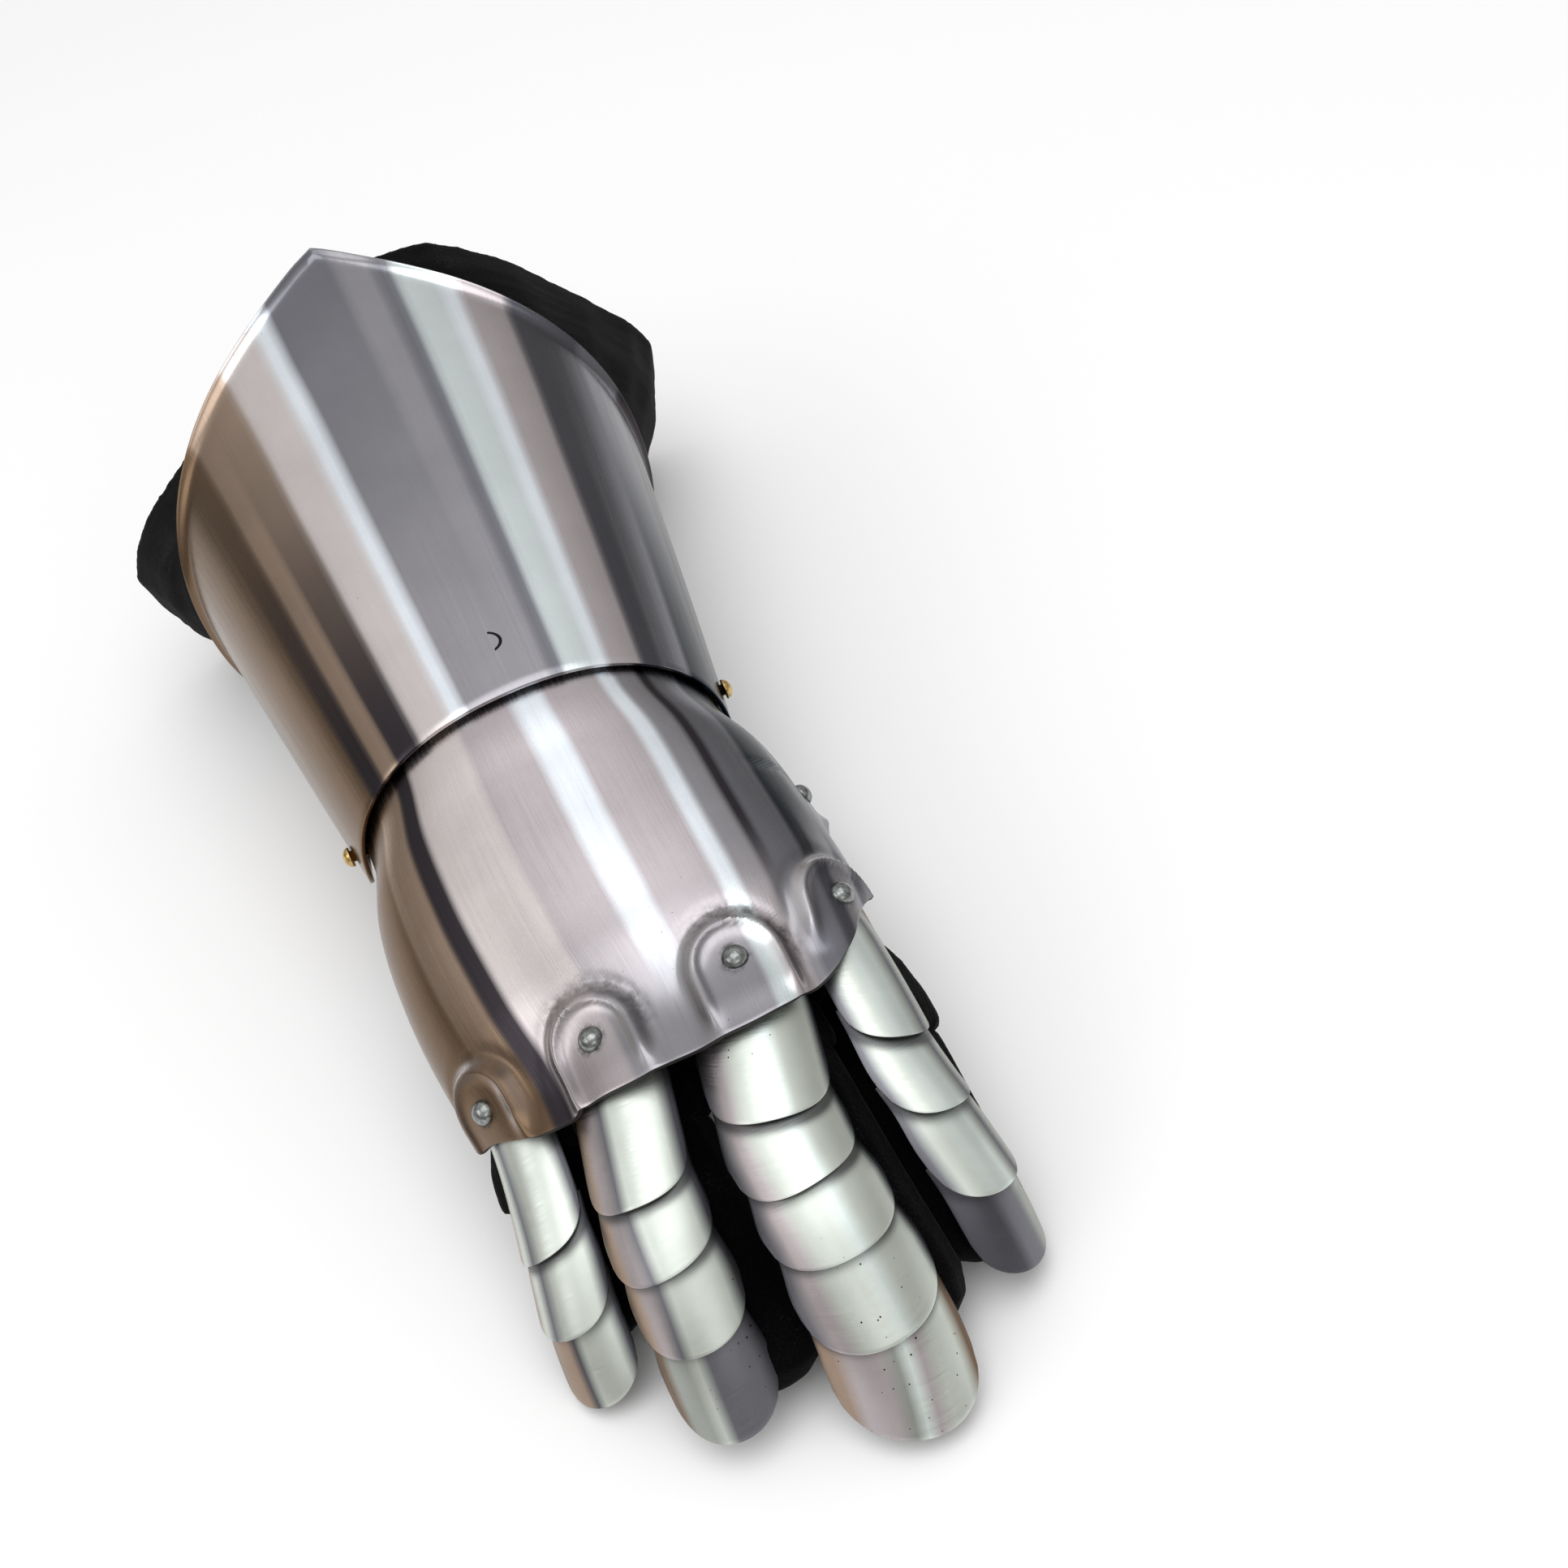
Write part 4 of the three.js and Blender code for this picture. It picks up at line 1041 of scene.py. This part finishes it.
rivet_steel = metal_finish("rivet steel", (150, 154, 152), 0.22)
rivet_brass = metal_finish("rivet brass", (212, 180, 120), 0.26)

# %% Place the rivets
BURR_EASE = 0.35
GAP = 0.3
for name, (point, normal, _across, _back) in KNUCKLE_FRAMES.items():
    stack = PLATE_WALL + KNUCKLES[name][2] + LAME_WALL + GAP + BURR_EASE
    bm = rivet_mesh(3.15, 2.8, 1.5, 2.6, 1.1, stack)
    turn = Vector((0, 0, 1)).rotation_difference(normal).to_matrix().to_4x4()
    bmesh.ops.transform(bm, matrix=Matrix.Translation(WRIST + point * MM) @ turn, verts=bm.verts)
    piece = new_object(f"{name}_knuckle_rivet", bm, "hand", [f"{name}_rivet"])
    piece.data.materials.append(rivet_steel)

for side, sign in (("little", -1), ("thumb", 1)):
    low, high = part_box(f"wrist_rivet_{side}_side")
    outside = cuff_section(sign * math.pi / 2, HINGE_ABOVE.y / MM).x + sign * GAP
    stack = (high[0] - low[0]) / MM - GAP - 2.2 - 1
    seat = WRIST + HINGE_ABOVE + Vector((outside * MM, 0, 0))
    bm = rivet_mesh(2.75, 2.2, 1.5, 2.5, 1, stack)
    turn = Vector((0, 0, 1)).rotation_difference(Vector((sign, 0, 0))).to_matrix().to_4x4()
    bmesh.ops.transform(bm, matrix=Matrix.Translation(seat) @ turn, verts=bm.verts)
    piece = new_object(f"brass_rivet_{side}_side", bm, "cuff", [f"wrist_rivet_{side}_side"])
    piece.data.materials.append(rivet_brass)
print("rivets", len(KNUCKLE_FRAMES) + 2)

# %% [markdown]
# ## The glove
# The glove is soft black suede. Its solids in the frame already have the right walls and openings, so each
# one is copied, its loose triangles are joined, and a voxel remesh gives it an even skin that can be
# smoothed. Small folds are then pushed in along the normals with noise, and the upper edge of the wide cuff
# is lifted into one broad fold.

# %% Suede
def suede_finish():
    material = bpy.data.materials.new("black suede")
    material.use_nodes = True
    tree = material.node_tree
    skin = tree.nodes["Principled BSDF"]
    skin.inputs["Roughness"].default_value = 0.95
    skin.inputs["Specular IOR Level"].default_value = 0.05
    skin.inputs["Sheen Weight"].default_value = 0.04
    skin.inputs["Sheen Roughness"].default_value = 0.5
    coordinates = node(tree, "ShaderNodeTexCoord", (-900, 0))
    nap = node(tree, "ShaderNodeTexNoise", (-700, 0), Scale=1400.0, Detail=3.0)
    brushed = node(tree, "ShaderNodeTexNoise", (-700, -250), Scale=60.0, Detail=5.0)
    for texture in (nap, brushed):
        tree.links.new(coordinates.outputs["Object"], texture.inputs["Vector"])
    both = node(tree, "ShaderNodeMix", (-500, 0))
    both.inputs[0].default_value = 0.5
    tree.links.new(nap.outputs["Fac"], both.inputs[2])
    tree.links.new(brushed.outputs["Fac"], both.inputs[3])
    ramp = ramp_of(tree, [(0.36, (4, 4, 5)), (0.55, (13, 13, 15)), (0.7, (31, 31, 34))], (-300, 0))
    tree.links.new(both.outputs[0], ramp.inputs["Fac"])
    tree.links.new(ramp.outputs["Color"], skin.inputs["Base Color"])
    bump = node(tree, "ShaderNodeBump", (-250, -400), Strength=0.6, Distance=0.0004)
    tree.links.new(nap.outputs["Fac"], bump.inputs["Height"])
    tree.links.new(bump.outputs["Normal"], skin.inputs["Normal"])
    return material


black_suede = suede_finish()

# %% Copy, remesh and crease each glove part
# Columns: voxel size in mm, rounds of smoothing, depth of the folds in mm.
GLOVE_PARTS = {
    "glove_cuff": (1.25, 6, 0.9),
    "glove_hand": (1.1, 5, 0.35),
    "glove_little": (0.75, 5, 0.3),
    "glove_ring": (0.75, 5, 0.3),
    "glove_middle": (0.75, 5, 0.3),
    "glove_index": (0.75, 5, 0.3),
    "glove_thumb": (0.75, 5, 0.3),
}
PADDING = {"glove_hand": Vector((5.0, 1.6, 0.3))}
FINGER_PADDING = Vector((2.8, 1.4, 0.3))


def suede_part(name, voxel, rounds, fold):
    bm = bmesh.new()
    bm.from_mesh(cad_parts[name].data)
    bmesh.ops.remove_doubles(bm, verts=bm.verts, dist=1e-6)
    piece = new_object(f"{name}_suede", bm, "hand", [name])
    remesh = piece.modifiers.new("even skin", "REMESH")
    remesh.mode = "VOXEL"
    remesh.voxel_size = voxel * MM
    baked = bpy.data.meshes.new_from_object(piece.evaluated_get(bpy.context.evaluated_depsgraph_get()))
    piece.modifiers.clear()
    bm = bmesh.new()
    bm.from_mesh(baked)
    for _ in range(rounds):
        bmesh.ops.smooth_vert(bm, verts=bm.verts, factor=0.5, use_axis_x=True, use_axis_y=True,
                              use_axis_z=True)
    bm.normal_update()
    for vert in bm.verts:
        at = (vert.co - WRIST) / MM
        ripple = noise.noise(Vector((at.x / 16, at.y / 7, at.z / 16)))
        swell = noise.noise(at / 24)
        vert.co -= vert.normal * fold * MM * (0.4 * abs(ripple) + 0.6 * abs(swell))
        if name == "glove_cuff":
            fold_up = 13 * math.exp(-(((at.x - 36) / 32) ** 2)) - 5 * math.exp(-(((at.x + 62) / 26) ** 2))
            vert.co.z += fold_up * smoothstep(at.y, 112, 172) * smoothstep(at.z, 0, 30) * MM
        else:
            full = smoothstep(-at.y, 78, 96) * MM
            padding = PADDING.get(name, FINGER_PADDING)
            vert.co.x += vert.normal.x * padding.x * full
            vert.co.y += vert.normal.y * padding.y * full
            vert.co.z += max(0, vert.normal.z) * padding.z * full
    bm.to_mesh(piece.data)
    bm.free()
    piece.data.shade_smooth()
    piece.data.materials.clear()
    piece.data.materials.append(black_suede)
    return piece


for name, (voxel, rounds, fold) in GLOVE_PARTS.items():
    part = suede_part(name, voxel, rounds, fold)
    print(name, "faces", len(part.data.polygons))

# %% [markdown]
# ## Studio
# A pale floor, a wide soft light overhead, a second one from the left and a weak one in front. Steel shows
# what surrounds it, so the room itself is a soft gradient: bright overhead and dimmer at the horizon.

# %% Floor, lights and room
bm = bmesh.new()
bmesh.ops.create_grid(bm, x_segments=1, y_segments=1, size=30)
bmesh.ops.translate(bm, verts=bm.verts, vec=(0, 0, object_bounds()[0][2]))
floor_mesh = bpy.data.meshes.new("studio_floor")
bm.to_mesh(floor_mesh)
bm.free()
floor = bpy.data.objects.new("studio_floor", floor_mesh)
bpy.context.scene.collection.objects.link(floor)
floor_mesh.materials.append(plain_finish("white paper", Base_Color=(0.98, 0.98, 0.98, 1), Roughness=0.9))


def soft_light(name, azimuth, elevation, distance, size, energy):
    data = bpy.data.lights.new(name, "AREA")
    data.shape = "RECTANGLE"
    data.size, data.size_y = size
    data.energy = energy
    data.specular_factor = 0.3
    light = bpy.data.objects.new(name, data)
    az, el = math.radians(azimuth), math.radians(elevation)
    way = Vector((math.sin(az) * math.cos(el), -math.cos(az) * math.cos(el), math.sin(el)))
    light.location = WRIST + way * distance
    light.rotation_euler = way.to_track_quat("Z", "Y").to_euler()
    bpy.context.scene.collection.objects.link(light)


soft_light("overhead", 10, 82, 1.6, (1.6, 1.2), 9)
soft_light("left window", -80, 38, 1.7, (1.0, 0.7), 3)
soft_light("front", 5, 30, 1.9, (1.2, 0.5), 2)

world = bpy.data.worlds.new("studio room")
bpy.context.scene.world = world
world.use_nodes = True
room = world.node_tree
around = node(room, "ShaderNodeTexCoord", (-900, 0))
height = node(room, "ShaderNodeSeparateXYZ", (-700, 0))
room.links.new(around.outputs["Generated"], height.inputs["Vector"])
SKY = [(0.0, (150, 146, 142)), (0.35, (190, 188, 186)), (0.75, (235, 235, 235)), (1.0, (250, 250, 252))]
sky = ramp_of(room, SKY, (-450, 0), "EASE")
room.links.new(height.outputs["Z"], sky.inputs["Fac"])
room.links.new(sky.outputs["Color"], room.nodes["Background"].inputs["Color"])
room.nodes["Background"].inputs["Strength"].default_value = 0.95

print("lights", [light.name for light in bpy.data.lights])

# %% [markdown]
# The camera looks down on the back of the hand from in front of the fingers. Its place is measured from the
# wrist, and it is rolled, so that the gauntlet lies slantwise in the frame.

# %% Camera
VIEW_FROM = Vector((1.1, -370.4, 361.7)) * MM
VIEW_AZIMUTH, VIEW_ELEVATION, VIEW_ROLL = math.radians(-9.03), math.radians(47.02), math.radians(17.94)
camera_data = bpy.data.cameras.new("camera")
camera_data.sensor_width = 36
camera_data.lens = 45.12
camera_data.clip_start = 0.01
camera = bpy.data.objects.new("camera", camera_data)
bpy.context.scene.collection.objects.link(camera)
flat = math.cos(VIEW_ELEVATION)
back = Vector((math.sin(VIEW_AZIMUTH) * flat, -math.cos(VIEW_AZIMUTH) * flat, math.sin(VIEW_ELEVATION)))
level = (-back).cross(Vector((0, 0, 1))).normalized()
down = (-back).cross(level)
right = level * math.cos(VIEW_ROLL) + down * math.sin(VIEW_ROLL)
turn = Matrix((right, back.cross(right), back)).transposed().to_4x4()
camera.matrix_world = Matrix.Translation(WRIST + VIEW_FROM) @ turn
bpy.context.scene.camera = camera
bpy.context.scene.view_settings.view_transform = "Standard"
print("camera", [round(v, 3) for v in camera.location])
